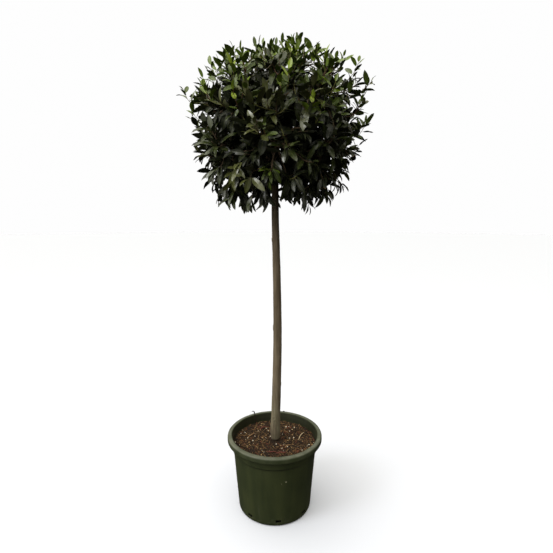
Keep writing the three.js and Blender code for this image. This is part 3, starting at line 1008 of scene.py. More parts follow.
@dataclass(frozen=True)
class Pot:
    """The round nursery pot: rolled rim, collar, tapering wall, rounded foot, drain slots and channels."""

    height: float = 305.0
    rim_radius: float = 190.0
    rim_depth: float = 21.0
    rim_round: float = 8.0
    lip_round: float = 2.5
    mouth: float = 172.0
    collar_radius: float = 170.0
    collar_foot: float = 249.0
    shoulder_radius: float = 165.5
    shoulder_height: float = 246.0
    groove: float = 1.2
    foot_radius: float = 146.0
    foot_corner: float = 12.0
    flare: float = 0.8
    wall: float = 2.8
    floor: float = 5.5
    segments: int = 160
    slots: int = 8
    slot_middle: float = 23.0
    slot_size: Triple = (34.0, 22.0, 10.0)
    slot_phase: float = 0.096
    channel_width: float = 14.0
    channel_depth: float = 2.5
    channel_from: float = 62.0
    channel_to: float = 150.0
    seam_azimuth: float = -33.0
    seam_height: float = 0.55
    seam_width: float = 2.4
    out_of_round: float = 0.5
    crease: float = 32.0

    @staticmethod
    def _round(start: Pair, corner: Pair, end: Pair, steps: int) -> list[Pair]:
        """Round a corner.

        Args:
            start: The bend's first radius and height.
            corner: Where its two ends' lines meet.
            end: Its last radius and height.
            steps: How many stretches it has.

        Returns:
            The bend's places.
        """
        places = []
        for share in (step / steps for step in range(steps + 1)):
            weights = ((1 - share) ** 2, 2 * share * (1 - share), share**2)
            axes = zip(start, corner, end)
            places.append(tuple(sum(part * weight for part, weight in zip(axis, weights)) for axis in axes))
        return places

    @staticmethod
    def _stretch(start: Pair, end: Pair, steps: int) -> list[Pair]:
        """Return the places strictly between two, evenly spaced."""
        return [tuple(lerp(a, b, k / steps) for a, b in zip(start, end)) for k in range(1, steps)]

    def inner_face(self, gap: float) -> list[Pair]:
        """Draw the inner face.

        Args:
            gap: How far it is taken in.

        Returns:
            Its radii and heights, from the floor's edge up to the collar.
        """
        inset = self.wall + gap
        return [
            (self.foot_radius - self.foot_corner - inset, self.floor + gap),
            (self.foot_radius - inset, self.floor + self.foot_corner * 0.8),
            (self.shoulder_radius - inset, self.shoulder_height - 2.0),
            (self.collar_radius - inset, self.collar_foot - 1.0),
        ]

    def profile(self) -> list[Pair]:
        """Draw the wall's outline.

        Returns:
            Its radii and heights, from the underside's centre round to the floor's.
        """
        foot = (self.foot_radius + self.flare, self.foot_corner)
        shoulder = (self.shoulder_radius, self.shoulder_height)
        collar, low, lip = self.collar_radius, self.collar_foot, self.height - self.rim_depth
        neck, rim, top, mouth = collar + self.flare, self.rim_radius, self.height, self.mouth
        roll, turn = self.rim_round, self.lip_round
        floor_edge, floor_turn, inner_shoulder, inner_collar = self.inner_face(0.0)
        return [
            *self._round((self.foot_radius - self.foot_corner, 0.0), (self.foot_radius, 0.0), foot, 7),
            *self._stretch(foot, shoulder, 12),
            shoulder,
            (self.shoulder_radius - self.groove, self.shoulder_height + 1.0),
            *self._round((collar - 1.6, low - 1.4), (collar, low - 1.4), (collar, low + 0.4), 3),
            (collar + self.flare * 0.5, (low + lip) / 2.0),
            *self._round((neck, lip - 2.0), (neck, lip), (neck + 2.0, lip), 3),
            *self._round((rim - turn, lip), (rim, lip), (rim, lip + turn), 5),
            *self._round((rim, top - roll), (rim, top), (rim - roll, top), 7),
            *self._round((mouth + turn, top), (mouth, top), (mouth, top - turn), 5),
            (collar - self.wall + self.flare, lip),
            inner_collar,
            inner_shoulder,
            *self._stretch(inner_shoulder, floor_turn, 6),
            floor_turn,
            floor_edge,
        ]

    def _wobble(self, radius: float, height: float, angle: float) -> float:
        """Work out how far the moulding strays from round, with its two upright seams.

        Args:
            radius: The wall's radius there.
            height: The place's height.
            angle: Its angle about the axis.

        Returns:
            The change of radius.
        """
        place = Vector((cos(angle), sin(angle), height * 0.004))
        stray = self.out_of_round * grain(place, 1.3) * min(height / 120.0, 1.0)
        if radius <= self.foot_radius or not 14.0 < height < self.shoulder_height:
            return stray
        away = (angle - radians(self.seam_azimuth)) % pi
        return stray + self.seam_height * exp(-((min(away, pi - away) * radius / self.seam_width) ** 2))

    def _turned(self) -> Draft:
        """Turn the closed wall.

        Returns:
            The wall before its slots are cut.
        """
        draft = Draft()
        rings = []
        for radius, height in self.profile():
            ring = []
            for turn in turns(self.segments):
                angle = radians(self.seam_azimuth) + turn
                reach = radius + self._wobble(radius, height, angle)
                ring.append(Vector((reach * cos(angle), reach * sin(angle), height)))
            rings.append(draft.add(ring))
        draft.body(rings, Vector(), UP * self.floor)
        return draft

    def _cutters(self) -> Mesh:
        """Shape what is cut away.

        Returns:
            The rounded bars of the drain slots and of the channels under the base.
        """
        cutters = bmesh.new()
        channel = (self.channel_to - self.channel_from, self.channel_width, 2.0 * self.channel_depth)
        bars = (
            ((self.foot_radius, 0.0, self.slot_middle), self.slot_size, 2.6),
            (((self.channel_from + self.channel_to) / 2.0, 0.0, 0.0), channel, 1.6),
        )
        for turn in turns(self.slots):
            angle = self.slot_phase - pi / 2.0 + turn
            for middle, size, corner in bars:
                place = Matrix.Rotation(angle, 4, "Z") @ Matrix.Translation(middle)
                place @= Matrix.Diagonal((*size, 1.0))
                made = bmesh.ops.create_cube(cutters, size=1.0, matrix=place)
                edges = list({edge for vertex in made["verts"] for edge in vertex.link_edges})
                bmesh.ops.bevel(cutters, geom=edges, offset=corner, segments=3, profile=0.5, affect="EDGES")
        cutters.transform(Matrix.Scale(MM, 4))
        mesh = bpy.data.meshes.new("pot_cutters")
        cutters.to_mesh(mesh)
        cutters.free()
        return mesh

    def make(self) -> None:
        """Build the pot and put it in the CAD pot's place."""
        body = linked("pot_body", self._turned().mesh("pot_body"))
        bars = linked("pot_bars", self._cutters())
        cut = body.modifiers.new("slots", "BOOLEAN")
        cut.operation = "DIFFERENCE"
        cut.solver = "EXACT"
        cut.use_self = True
        cut.object = bars
        mesh = evaluated(body)
        for piece in (body, bars):
            bpy.data.objects.remove(piece)
        mesh.materials.clear()
        mesh.shade_smooth()
        mesh.set_sharp_from_angle(angle=radians(self.crease))
        Piece("pot_shell", "pot_plastic", (PotPlastic(),), ("pot",)).put(mesh)


@dataclass(frozen=True)
class Compost:
    """The compost: a bumpy bed that fills the pot, and the bark, coir and grit that lie on it."""

    pot: Pot
    level: float = 272.0
    gap: float = 0.3
    bump: float = 3.0
    sink: float = 1.2
    edge_drop: float = 3.0
    segments: int = 180
    rings: int = 60
    stem_x: float = 3.0
    stem_y: float = 6.0
    seat: float = 22.0
    litter_from: float = 30.0
    litter_margin: float = 4.0
    foot_inset: float = 20.0
    seed: int = 11

    @property
    def edge(self) -> float:
        """Return the radius of the bed's edge at its top."""
        return self.pot.collar_radius - self.pot.wall - self.gap

    def height_at(self, x: float, y: float) -> float:
        """Read the bed's top.

        Args:
            x: The place's x.
            y: Its y.

        Returns:
            The height there.
        """
        place = Vector((x, y, 0.0))
        rough = grain(place, 0.03) * 0.8 + grain(place, 0.09) * 0.55 + grain(place, 0.24) * 0.35
        from_stem = hypot(x - self.stem_x, y - self.stem_y)
        from_edge = self.edge - hypot(x, y)
        calm = min(max((from_stem - self.seat) / 16.0, 0.0), 1.0) * min(from_edge / 10.0, 1.0)
        drop = self.edge_drop * max(0.0, 1.0 - from_edge / 26.0)
        return self.level - drop + self.bump * (rough * calm) - self.sink * calm

    def _top(self, draft: Draft, inner: float, outer: float) -> list[list[int]]:
        """Add rings of the bed's top.

        Args:
            draft: What they are added to.
            inner: The last ring's radius.
            outer: The first ring's radius.

        Returns:
            The rings' numbers.
        """
        rings = []
        for k in range(self.rings + 1):
            radius = lerp(outer, inner, k / self.rings)
            places = [(radius * cos(turn), radius * sin(turn)) for turn in turns(self.segments)]
            rings.append(draft.add(Vector((x, y, self.height_at(x, y))) for x, y in places))
        return rings

    def bed(self) -> None:
        """Build the closed bed and put it in the CAD compost's place."""
        draft = Draft()
        foot, corner, *upper = self.pot.inner_face(self.gap)
        lower = [(foot[0] - self.foot_inset, foot[1]), (corner[0] - self.foot_inset, corner[1] + 15.0)]
        sides = []
        for radius, height in (*lower, (corner[0] + 2.0, corner[1] + 29.0), *upper):
            around = ((radius * cos(turn), radius * sin(turn)) for turn in turns(self.segments))
            places = (Vector((*place, height)) for place in around)
            sides.append(draft.add(places))
        rings = [*sides, *self._top(draft, 3.0, self.edge)]
        draft.body(rings, UP * (self.pot.floor + self.gap), UP * self.level)
        Piece("compost_bed", "compost", (CompostBed(),), ("compost",)).put(draft.mesh("compost_bed"))

    def _ground(self) -> Mesh:
        """Lay out where litter may lie.

        Returns:
            That part of the bed's top.
        """
        draft = Draft()
        draft.bridge(self._top(draft, self.litter_from, self.edge - self.litter_margin))
        return draft.mesh("litter_ground")

    def _lump(self, chance: random.Random, size: Sequence[float], rough: float, tiers: int) -> Mesh:
        """Make a rough lump.

        Args:
            chance: Where its bumps come from.
            size: Its width, depth and height in millimetres.
            rough: How far its places stray, as a share.
            tiers: Its rings between the poles.

        Returns:
            A closed mesh about the origin.
        """
        draft = Draft()
        rings = []
        for tier in range(tiers):
            ring = []
            for turn in turns(6):
                way = direction(turn + tier * 0.4, pi * ((tier + 1) / (tiers + 1) - 0.5))
                way *= 1.0 + rough * (2.0 * chance.random() - 1.0)
                ring.append(Vector(way[axis] * size[axis] / 2.0 for axis in range(3)))
            rings.append(draft.add(ring))
        draft.body(rings, UP * (-size[2] / 2.0), UP * (size[2] / 2.0))
        return draft.mesh("lump")

    def _strand(self, chance: random.Random, long: float, thick: float) -> Mesh:
        """Make a bent fibre, three-sided and closed.

        Args:
            chance: Where its bends come from.
            long: Its length in millimetres.
            thick: Its radius in the middle.

        Returns:
            A mesh about the origin.
        """
        line = [(long * (share - 0.5), long * 0.22, long * 0.1) for share in (0.0, 0.35, 0.7, 1.0)]
        points = [Vector((x, y * (chance.random() - 0.5), thick + z * chance.random())) for x, y, z in line]
        draft = Draft()
        draft.tube(Path(points), [thick * (1.0 - 0.7 * abs(step / 2.0 - 1.0) ** 2) for step in range(5)], 3)
        return draft.mesh("strand")

    def _shapes(self) -> dict[str, list[Mesh]]:
        """Shape the litter.

        Returns:
            A dozen shapes of each kind.
        """
        chance = random.Random(self.seed)
        spread = chance.uniform
        makers = {
            "chip": lambda: self._lump(chance, (spread(9, 19), spread(4, 8.5), spread(2, 4)), 0.3, 3),
            "crumb": lambda: self._lump(chance, (spread(3, 6.5), spread(2.6, 5), spread(2, 4.2)), 0.3, 2),
            "fibre": lambda: self._strand(chance, spread(14, 34), spread(0.4, 0.8)),
            "grain": lambda: self._lump(chance, (spread(3.4, 5.4), spread(3, 4.6), spread(2.6, 4)), 0.16, 3),
        }
        return {kind: [make() for _ in range(ScatteredLitter.kinds)] for kind, make in makers.items()}

    def litter(self) -> None:
        """Strew the bark chips, crumbs, fibres and grains over the bed, one piece of each kind."""
        layers = (  # kind and colour's name, how many to a square metre, tilt, least and largest size, colour
            ("crumb_dark", 19000.0, 0.6, 0.6, 1.5, (24, 17, 11)),
            ("crumb_brown", 9000.0, 0.6, 0.6, 1.4, (66, 49, 30)),
            ("crumb_tan", 4200.0, 0.6, 0.5, 1.15, (118, 92, 58)),
            ("chip_brown", 2200.0, 0.7, 0.5, 1.2, (82, 60, 36)),
            ("chip_red", 1500.0, 0.6, 0.5, 1.1, (80, 42, 27)),
            ("chip_dark", 2400.0, 0.8, 0.5, 1.3, (30, 21, 14)),
            ("chip_pale", 760.0, 0.7, 0.4, 0.95, (146, 120, 84)),
            ("fibre_tan", 2600.0, 0.4, 0.5, 1.2, (124, 96, 62)),
            ("fibre_brown", 3200.0, 0.4, 0.5, 1.2, (60, 43, 28)),
            ("grain_pale", 820.0, 0.5, 0.7, 1.45, (216, 206, 186)),
            ("grain_ochre", 460.0, 0.5, 0.6, 1.2, (172, 140, 86), 0.5),
        )
        recipe = ScatteredLitter()
        for kind, meshes in self._shapes().items():
            shelf = ShapeShelf(f"litter_{kind}", meshes)
            strewn = []
            for number, (name, density, tilt, smallest, largest, colour, *roughness) in enumerate(layers):
                if name.startswith(kind):
                    finish = Plain(f"litter_{name}", tint(*colour), *roughness).material()
                    values = (shelf.collection, density, self.seed + number, tilt, smallest, largest, finish)
                    strewn.append(recipe.run(self._ground(), dict(zip(recipe.wants, values))))
            Piece(f"compost_{kind}s", "compost").put(joined(strewn))
            shelf.clear()


@dataclass(frozen=True)
class LooseBit:
    """A thing that lies loose: its finish, line, thickest radius, flatness and its ends' thickness."""

    finish: Plain
    points: tuple[Triple, ...]
    radius: float
    flat: float = 1.0
    taper: float = 0.35

    def mesh(self) -> Mesh:
        """Shape the bit.

        Returns:
            A closed mesh with its finish.
        """
        steps = 4 * len(self.points)
        swell = [self.taper + (1.0 - self.taper) * sin(pi * k / steps) ** 0.5 for k in range(steps + 1)]
        line = Path([Vector(point) for point in self.points])
        draft = Draft()
        draft.tube(line, [self.radius * part for part in swell], flat=self.flat)
        mesh = draft.mesh("loose_bit")
        mesh.materials.append(self.finish.material())
        return mesh


def loose_bits() -> None:
    """Lay out the dry stalk, the pale stick, the strips of bark and the crumb on the rim, as one piece."""
    dry = Plain("litter_stalk_dry", tint(36, 30, 21), 0.8)
    pale = Plain("litter_stick_pale", tint(178, 158, 126), 0.8)
    red = Plain("litter_strip_red", tint(74, 36, 26), 0.85)
    tan = Plain("litter_strip_tan", tint(120, 92, 62), 0.85)
    bits = rows(
        LooseBit,
        (dry, ((-85, 142, 268), (-86, 143, 292), (-89, 146, 311), (-95, 147, 323), (-102, 145, 321)), 2.3),
        (dry, ((-89, 146, 312), (-90, 150, 318), (-94, 153, 319)), 1.5),
        (pale, ((97, -4, 273), (103, 14, 278), (112, 34, 279), (123, 54, 275)), 1.5),
        (red, ((-30, -82, 272), (-17, -89, 274), (-2, -87, 274), (9, -90, 272)), 3.8, 0.4),
        (red, ((6, -97, 272), (24, -92, 275), (36, -94, 274), (50, -86, 272)), 4.4, 0.35),
        (red, ((-64, 82, 272), (-50, 96, 276), (-30, 104, 273)), 4.0, 0.4),
        (tan, ((-112, 20, 271), (-96, 34, 276), (-84, 52, 273)), 2.6, 0.5),
        (tan, ((40, -58, 272), (52, -46, 276), (70, -40, 273)), 2.2, 0.6),
        (pale, ((-20, 118, 273), (4, 126, 277), (22, 128, 274)), 1.3),
        (dry, ((36, 177, 305), (40, 177, 307), (45, 176, 305)), 2.6, 0.8, 0.5),
    )
    Piece("compost_loose_bits", "compost").put(joined([bit.mesh() for bit in bits]))


# Stem and boughs


@dataclass(frozen=True)
class Scar:
    """Where a side shoot was cut from the stem: a raised collar round a sunken face."""

    height: float
    azimuth: float
    width: float = 7.5
    rise: float = 1.7
    sunk: float = 1.5

    def relief(self, height: float, angle: float, radius: float) -> float:
        """Read the scar's relief at a place on the stem.

        Args:
            height: The place's height above the foot.
            angle: Its angle about the stem.
            radius: The stem's radius there.

        Returns:
            How far the scar lifts the bark.
        """
        across = remainder(angle - radians(self.azimuth), tau) * radius
        away = hypot(across, (height - self.height) * 0.8) / self.width
        return self.rise * exp(-(((away - 0.85) / 0.42) ** 2)) - self.sunk * exp(-((away / 0.55) ** 2))


@dataclass(frozen=True)
class Stem:
    """The one clear stem, from its foot in the compost to its tip in the head."""

    foot: float = 272.3
    axis: tuple[Triple, ...] = (
        (3, 6, 0), (3, 6, 58), (7.4, 5, 200), (11.5, 3, 420), (9.5, 2, 630), (5.6, 1, 790), (2.8, 0, 900),
        (3, 1, 1030), (5, 2, 1140), (6, 1, 1226),
    )
    radii: tuple[Pair, ...] = (
        (0, 16.2), (14, 18.4), (40, 21.2), (62, 19.6), (110, 18), (420, 16.9), (630, 15.3), (890, 13.9),
        (1060, 12), (1140, 9.4), (1226, 6.2),
    )
    scars: tuple[Scar, ...] = rows(
        Scar,
        (97, -112, 6.5), (236, 20, 6.0, 1.2, 1.0), (352, -48, 5.5, 1.4), (468, 165, 7.0),
        (560, -125, 5.0, 1.2, 0.9), (655, 70, 6.0), (742, -70, 4.6, 1.3), (812, 190, 5.0),
    )
    sides: int = 72
    rings: int = 420

    @property
    def length(self) -> float:
        """Return the height of the stem's tip above its foot."""
        return self.axis[-1][2]

    def path(self) -> Path:
        """Return the stem's middle line in the shared frame, in millimetres."""
        return Path([Vector((x, y, self.foot + height)) for x, y, height in self.axis])

    def radius_at(self, height: float) -> float:
        """Return the stem's radius at a height above its foot, rounded between the listed ones."""
        return sum(along(self.radii, height + shift) for shift in (-9.0, -3.0, 3.0, 9.0)) / 4.0

    def _relief(self, height: float, angle: float, radius: float) -> float:
        """Read the bark's relief.

        Args:
            height: The place's height above the foot.
            angle: Its angle about the stem.
            radius: The stem's radius there.

        Returns:
            How far the bark stands out of or into the stem's round.
        """
        ring = Vector((cos(angle), sin(angle), 0.0))
        lumps = 0.6 * grain(ring + UP * height * 0.014, 1.1)
        ridges = 0.5 * grain(ring * 4.0 + UP * height * 0.009, 1.0)
        furrows = 0.28 * grain(ring * 13.0 + UP * height * 0.022, 1.0)
        joints = 0.22 * grain(ring * 0.8 + UP * height * 0.07, 1.0)
        scars = sum(scar.relief(height, angle, radius) for scar in self.scars)
        return (lumps + ridges + furrows + joints) * max(0.25, 1.0 - height / 1900.0) + scars

    def make(self) -> None:
        """Build the stem with its bark in relief and put it in the CAD trunk's place."""
        path = self.path()
        draft = Draft()
        rings = []
        for share in (k / self.rings for k in range(self.rings + 1)):
            height = share * self.length
            middle, radius = path.at(share), self.radius_at(height)
            ring = []
            for turn in turns(self.sides):
                out = Vector((cos(turn), sin(turn), 0.0)) * (radius + self._relief(height, turn, radius))
                ring.append(middle + out)
            rings.append(draft.add(ring))
        draft.body(rings, path.at(0.0), path.at(1.0) + UP * 0.6)
        Piece("stem_bark", "bark", (Bark(),), ("trunk",)).put(draft.mesh("stem_bark"))


@dataclass(frozen=True)
class BoughRing:
    """A ring of boughs: how many, the way they look, and how they leave the stem."""

    name: str
    count: int
    elevation: float
    azimuth: float
    fork: float
    fork_step: float
    radius: float
    rise: float


@dataclass(frozen=True)
class Limb:
    """One mass's limbs: the way it looks, and the bough and leader that feed it, about the head's centre."""

    place: str
    way: Vector
    entry: Vector
    radius: float
    bough: Path | None = None
    bough_radius: float = 0.0


@dataclass(frozen=True)
class Lobe:
    """A side of the head that stands out or in: the way it looks, its half width and change of reach."""

    azimuth: float
    elevation: float
    width: float
    change: float

    def at(self, way: Vector) -> float:
        """Return its change of the head's reach in a direction."""
        away = degrees(angle_between(aimed(self.azimuth, self.elevation), way))
        return self.change * exp(-((away / self.width) ** 2))


@dataclass(frozen=True)
class Head:
    """The clipped head's outer shape and its limbs, about the head's own centre, as in the part's source."""

    stem: Stem
    centre: Vector = field(default_factory=lambda: Vector((6.0, 0.0, 1470.0)))
    half_width: float = 328.0
    half_height: float = 290.0
    upper_power: float = 2.45
    lower_power: float = 2.2
    lean: float = 0.09
    lobes: tuple[Lobe, ...] = rows(
        Lobe,
        (-5, 31, 19, 0.14), (-8, 74, 12, -0.1), (-172, 47, 14, -0.16), (-172, -4, 16, -0.18),
        (-172, -36, 14, 0.11), (-7, -12, 14, -0.13), (-8, -58, 22, 0.07),
    )
    hollow_width: float = 168.0
    hollow_height: float = 166.0
    hollow_middle: float = -20.0
    stub_depth: float = 26.0
    bough_reach: float = 0.88
    bough_taper: float = 0.6
    rings: tuple[BoughRing, ...] = rows(
        BoughRing,
        ("lower", 5, -22.0, -90.0, 1050.0, 12.0, 6.4, 5.0),
        ("upper", 4, 31.0, -60.0, 1128.0, 11.0, 5.2, -12.0),
    )
    bough_sides: int = 20
    bough_steps: int = 34
    collar_rise: float = 3.4
    collar_length: float = 15.0

    def reach(self, way: Vector) -> float:
        """Read the head's outline.

        Args:
            way: The direction from its centre.

        Returns:
            How far the head reaches that way.
        """
        power = self.upper_power if way.z > 0.0 else self.lower_power
        flat = hypot(way.x, way.y) / self.half_width
        high = abs(way.z) / self.half_height
        lean = 1.0 + self.lean * way.x * min(0.0, way.z)
        swell = 1.0 + sum(lobe.at(way) for lobe in self.lobes)
        return swell * lean * (flat**power + high**power) ** (-1.0 / power)

    def hollow(self, way: Vector) -> float:
        """Read the open space round the fork.

        Args:
            way: The direction from the head's centre.

        Returns:
            How far the space reaches that way.
        """
        high = way.z / self.hollow_height
        low = self.hollow_middle / self.hollow_height
        square = (hypot(way.x, way.y) / self.hollow_width) ** 2 + high**2
        return (high * low + sqrt((high * low) ** 2 + square * (1.0 - low**2))) / square

    def depth(self, place: Vector) -> float:
        """Return a place's distance from the centre as a share of the head's reach that way."""
        return place.length / self.reach(place.normalized())

    def limbs(self) -> list[Limb]:
        """Set out the limbs of each mass.

        Returns:
            The top's, which goes on from the stem, and each ring's.
        """
        stem = self.stem.path()
        found = [Limb("top", UP.copy(), stem.at(1.0) - self.centre, along(self.stem.radii, self.stem.length))]
        for ring in self.rings:
            for i, turn in enumerate(turns(ring.count)):
                way = direction(radians(ring.azimuth) + turn, radians(ring.elevation))
                entry = way * self.hollow(way) * self.bough_reach
                fork = stem.at((ring.fork + ring.fork_step * i) / self.stem.length) - self.centre
                bough = Path([fork, fork.lerp(entry, 0.5) + UP * ring.rise, entry])
                place, radius = f"{ring.name}_{i + 1}", ring.radius
                found.append(Limb(place, way, entry, radius * self.bough_taper, bough, radius))
        return found

    def _bough_rings(self, limb: Limb, draft: Draft) -> list[list[int]]:
        """Add the rings of one bough, with its collar at the fork and its bark in relief.

        Args:
            limb: Whose bough it is.
            draft: What they are added to.

        Returns:
            The rings' numbers.
        """
        rings = []
        side = limb.bough.tangent(0.5).cross(UP).normalized()
        for share in (k / self.bough_steps for k in range(self.bough_steps + 1)):
            middle, axis = limb.bough.at(share), limb.bough.tangent(share)
            across = (side - axis * side.dot(axis)).normalized()
            collar = self.collar_rise * exp(-((share * limb.bough.length / self.collar_length) ** 2))
            radius = lerp(limb.bough_radius, limb.radius, share) + collar
            ring = []
            for turn in turns(self.bough_sides):
                out = Matrix.Rotation(turn, 3, axis) @ across
                place = out * 3.0 + UP * (share * 5.0 + limb.way.x * 3.0)
                ring.append(self.centre + middle + out * (radius + 0.45 * grain(place, 1.4)))
            rings.append(draft.add(ring))
        return rings

    def boughs(self) -> None:
        """Build the boughs, as one piece in the CAD boughs' place."""
        draft = Draft()
        limbs = [limb for limb in self.limbs() if limb.bough]
        for limb in limbs:
            draft.body(self._bough_rings(limb, draft))
        nodes = tuple(f"bough_{limb.place}" for limb in limbs)
        Piece("bough_bark", "bark", (Bark(),), nodes).put(draft.mesh("bough_bark"))


# Leaves


@dataclass(frozen=True)
class LeafPattern:
    """One pattern of bay leaf, of length 1 with its stalk, along +Y with its glossy side to +Z."""

    width: float = 0.34
    arch: float = 0.5
    lift: float = 0.15
    fold: float = 0.3
    wave: float = 0.014
    phase: float = 0.0
    twist: float = 0.0
    cut: float = 1.0
    base_power: float = 0.68
    tip_power: float = 0.8
    stalk: float = 0.1
    stalk_half: float = 0.011
    rib: float = 0.011
    keel: float = 0.012
    steps: int = 40
    stations: tuple[float, ...] = (0.0, 0.09, 0.24, 0.43, 0.63, 0.82, 0.95)

    def _slope(self, run: float) -> float:
        """Return the leaf's angle above +Y at a share of its whole length."""
        return self.lift - (self.lift + self.arch) * run**1.3

    def _middle(self) -> list[Vector]:
        """Bend the middle line.

        Returns:
            Places evenly spaced along it.
        """
        slopes = [self._slope((k + 0.5) / self.steps) for k in range(self.steps)]
        strides = (Vector((0.0, cos(angle), sin(angle))) / self.steps for angle in slopes)
        return list(accumulate(strides, initial=Vector((0.0, 0.0, 0.0))))

    def _read(self, middle: Sequence[Vector], share: float) -> tuple[Vector, Vector]:
        """Read the middle line.

        Args:
            middle: Its places.
            share: Where on the blade; under 0 on the stalk.

        Returns:
            The place and the upward side there.
        """
        run = self.stalk + (1.0 - self.stalk) * share
        low = min(int(run * self.steps), self.steps - 1)
        angle = self._slope(run)
        place = middle[low].lerp(middle[low + 1], run * self.steps - low)
        return place, Vector((0.0, -sin(angle), cos(angle)))

    def _ring(self, middle: Sequence[Vector], share: float, half: float) -> list[Vector]:
        """Shape the leaf at one station.

        Args:
            middle: The middle line's places.
            share: Where on the blade; under 0 on the stalk.
            half: Half the blade's width there.

        Returns:
            Left margin, two sides of the rib, right margin, and the keel below.
        """
        place, upward = self._read(middle, share)
        on_blade = max(share, 0.0)
        turn = self.twist * on_blade
        side = Vector((cos(turn), 0.0, 0.0)) + upward * sin(turn)
        upward = upward * cos(turn) - Vector((sin(turn), 0.0, 0.0))
        rib = min(self.rib * (1.0 - 0.65 * on_blade), half * 0.8)
        keel = max(self.keel * (1.0 - 0.7 * on_blade), 0.004)
        ripple = self.wave * min(half * 10.0, 1.0)
        left = ripple * sin(share * 11.0 + self.phase)
        right = ripple * sin(share * 12.5 + self.phase + 2.0)
        out, rise = half * cos(self.fold), half * sin(self.fold)
        return [
            place - side * out + upward * (rise + left),
            place - side * rib + upward * 0.001,
            place + side * rib + upward * 0.001,
            place + side * out + upward * (rise + right),
            place - upward * keel,
        ]

    def _swell(self, share: float) -> float:
        """Return a bay leaf's outline at a share of the blade, in a measure of its own."""
        return share**self.base_power * (1.0 - share) ** self.tip_power

    def _half_width(self, share: float) -> float:
        """Return half the blade's width at a share of its length."""
        widest = self.base_power / (self.base_power + self.tip_power)
        return self.width / 2.0 * self._swell(share) / self._swell(widest)

    def mesh(self) -> Mesh:
        """Shape the leaf.

        Returns:
            One closed mesh whose faces carry their part.
        """
        draft = Draft()
        middle = self._middle()
        clipped = self.cut < 1.0
        blade = [share for share in self.stations if share < self.cut - 0.05]
        halves = [(-0.11, self.stalk_half)]
        halves += [(share, max(self._half_width(share), self.stalk_half)) for share in blade]
        if clipped:
            halves += [(share, self._half_width(share)) for share in (self.cut - 0.035, self.cut)]
        rings = [draft.add(self._ring(middle, share, half)) for share, half in halves]
        labels = (LeafPart.UPPER, LeafPart.RIB, LeafPart.UPPER, LeafPart.UNDER, LeafPart.UNDER)
        for number, (lower, upper) in enumerate(pairwise(rings)):
            for k, label in enumerate(labels):
                if clipped and number == len(rings) - 2:
                    label = LeafPart.CUT
                elif number == 0:
                    label = LeafPart.STALK
                after = (k + 1) % 5
                draft.face((lower[k], lower[after], upper[after], upper[k]), label)
        draft.face(rings[0][::-1], LeafPart.STALK)
        if clipped:
            draft.face(rings[-1], LeafPart.CUT)
        else:
            tip = draft.add([self._read(middle, 1.0)[0]])[0]
            for k, label in enumerate(labels):
                draft.face((rings[-1][k], rings[-1][(k + 1) % 5], tip), label)
        return self._finished(draft)

    @staticmethod
    def _finished(draft: Draft) -> Mesh:
        """Make the leaf's mesh.

        Args:
            draft: Its places and labelled faces, at length 1.

        Returns:
            The mesh, with its margins sharp and its parts written on its faces.
        """
        mesh = bpy.data.meshes.new("leaf_pattern")
        mesh.from_pydata(draft.places, [], draft.faces)
        mesh.shade_smooth()
        carry(mesh, "part", "FLOAT", [float(part) for part in draft.labels], "FACE")
        tip = len(draft.places) - 1
        margins = {frozenset((a + shift, a + shift + 5)) for a in (0, 3) for shift in range(0, 60, 5)}
        margins |= {frozenset((tip - 5, tip)), frozenset((tip - 2, tip))}
        sharp = [frozenset(edge.vertices) in margins for edge in mesh.edges]
        carry(mesh, "sharp_edge", "BOOLEAN", sharp, "EDGE")
        mesh.update()
        return mesh


LEAF_PATTERNS = rows(
    LeafPattern,
    (0.315, 0.34, 0.14, 0.2, 0.012, 0.0, 0.1), (0.375, 0.22, 0.1, 0.14, 0.016, 1.4, -0.15),
    (0.285, 0.52, 0.2, 0.26, 0.01, 2.6, 0.25), (0.35, 0.1, 0.02, 0.1, 0.014, 3.9, 0.05),
    (0.395, 0.4, 0.18, 0.18, 0.018, 5.0, -0.28), (0.3, 0.7, 0.22, 0.3, 0.014, 0.8, 0.18),
    (0.36, 0.28, 0.12, 0.08, 0.02, 2.1, -0.05), (0.33, 0.3, 0.12, 0.2, 0.012, 4.4, 0.12, 0.66),
    (0.48, 0.2, 0.1, 0.2, 0.01, 1.0, 0.1, 1.0, 0.6, 0.66),
    (0.43, -0.05, 0.0, 0.26, 0.012, 3.0, -0.15, 1.0, 0.62, 0.72), (0.39, 0.1, 0.05, 0.32, 0.008, 0.4, 0.05),
)
CLIPPED_PATTERN = 7
WHOLE_PATTERNS = range(7)
NARROW_PATTERNS = (0, 2, 5)
YOUNG_PATTERNS = (8, 9, 10)


# Crown


class Kind(IntEnum):
    """The kinds of shoot, in the order in which their leaves take their room."""

    FLUSH, MAIN, SIDE, INNER = range(4)


@dataclass(frozen=True)
class Shoot:
    """One shoot of a spray: its line about the head's centre, thickness, tone and leaves."""

    path: Path
    way: Vector
    reach: float
    radius: float
    tip_radius: float
    skin: Skin
    tone: Tone
    leaves: int
    first: float
    size: float
    kind: Kind


@dataclass(frozen=True)
class Leaf:
    """A leaf in its place: where its stalk starts, how it is turned, its length, pattern and tone."""

    root: Vector
    turn: Quaternion
    length: float
    pattern: int
    tone: Tone


@dataclass(frozen=True)
class Stray:
    """A shoot that has outgrown the clipped shape, with the way that it looks in degrees."""

    azimuth: float
    elevation: float
    reach: float

    @property
    def way(self) -> Vector:
        """Return the way that it looks from the head's centre."""
        return aimed(self.azimuth, self.elevation)


@dataclass(frozen=True)
class Flush(Stray):
    """A spray that stands out of its neighbours in tone, with its leaves' size as a share of the usual."""

    tone: Tone = YOUNG
    size: float = 0.68


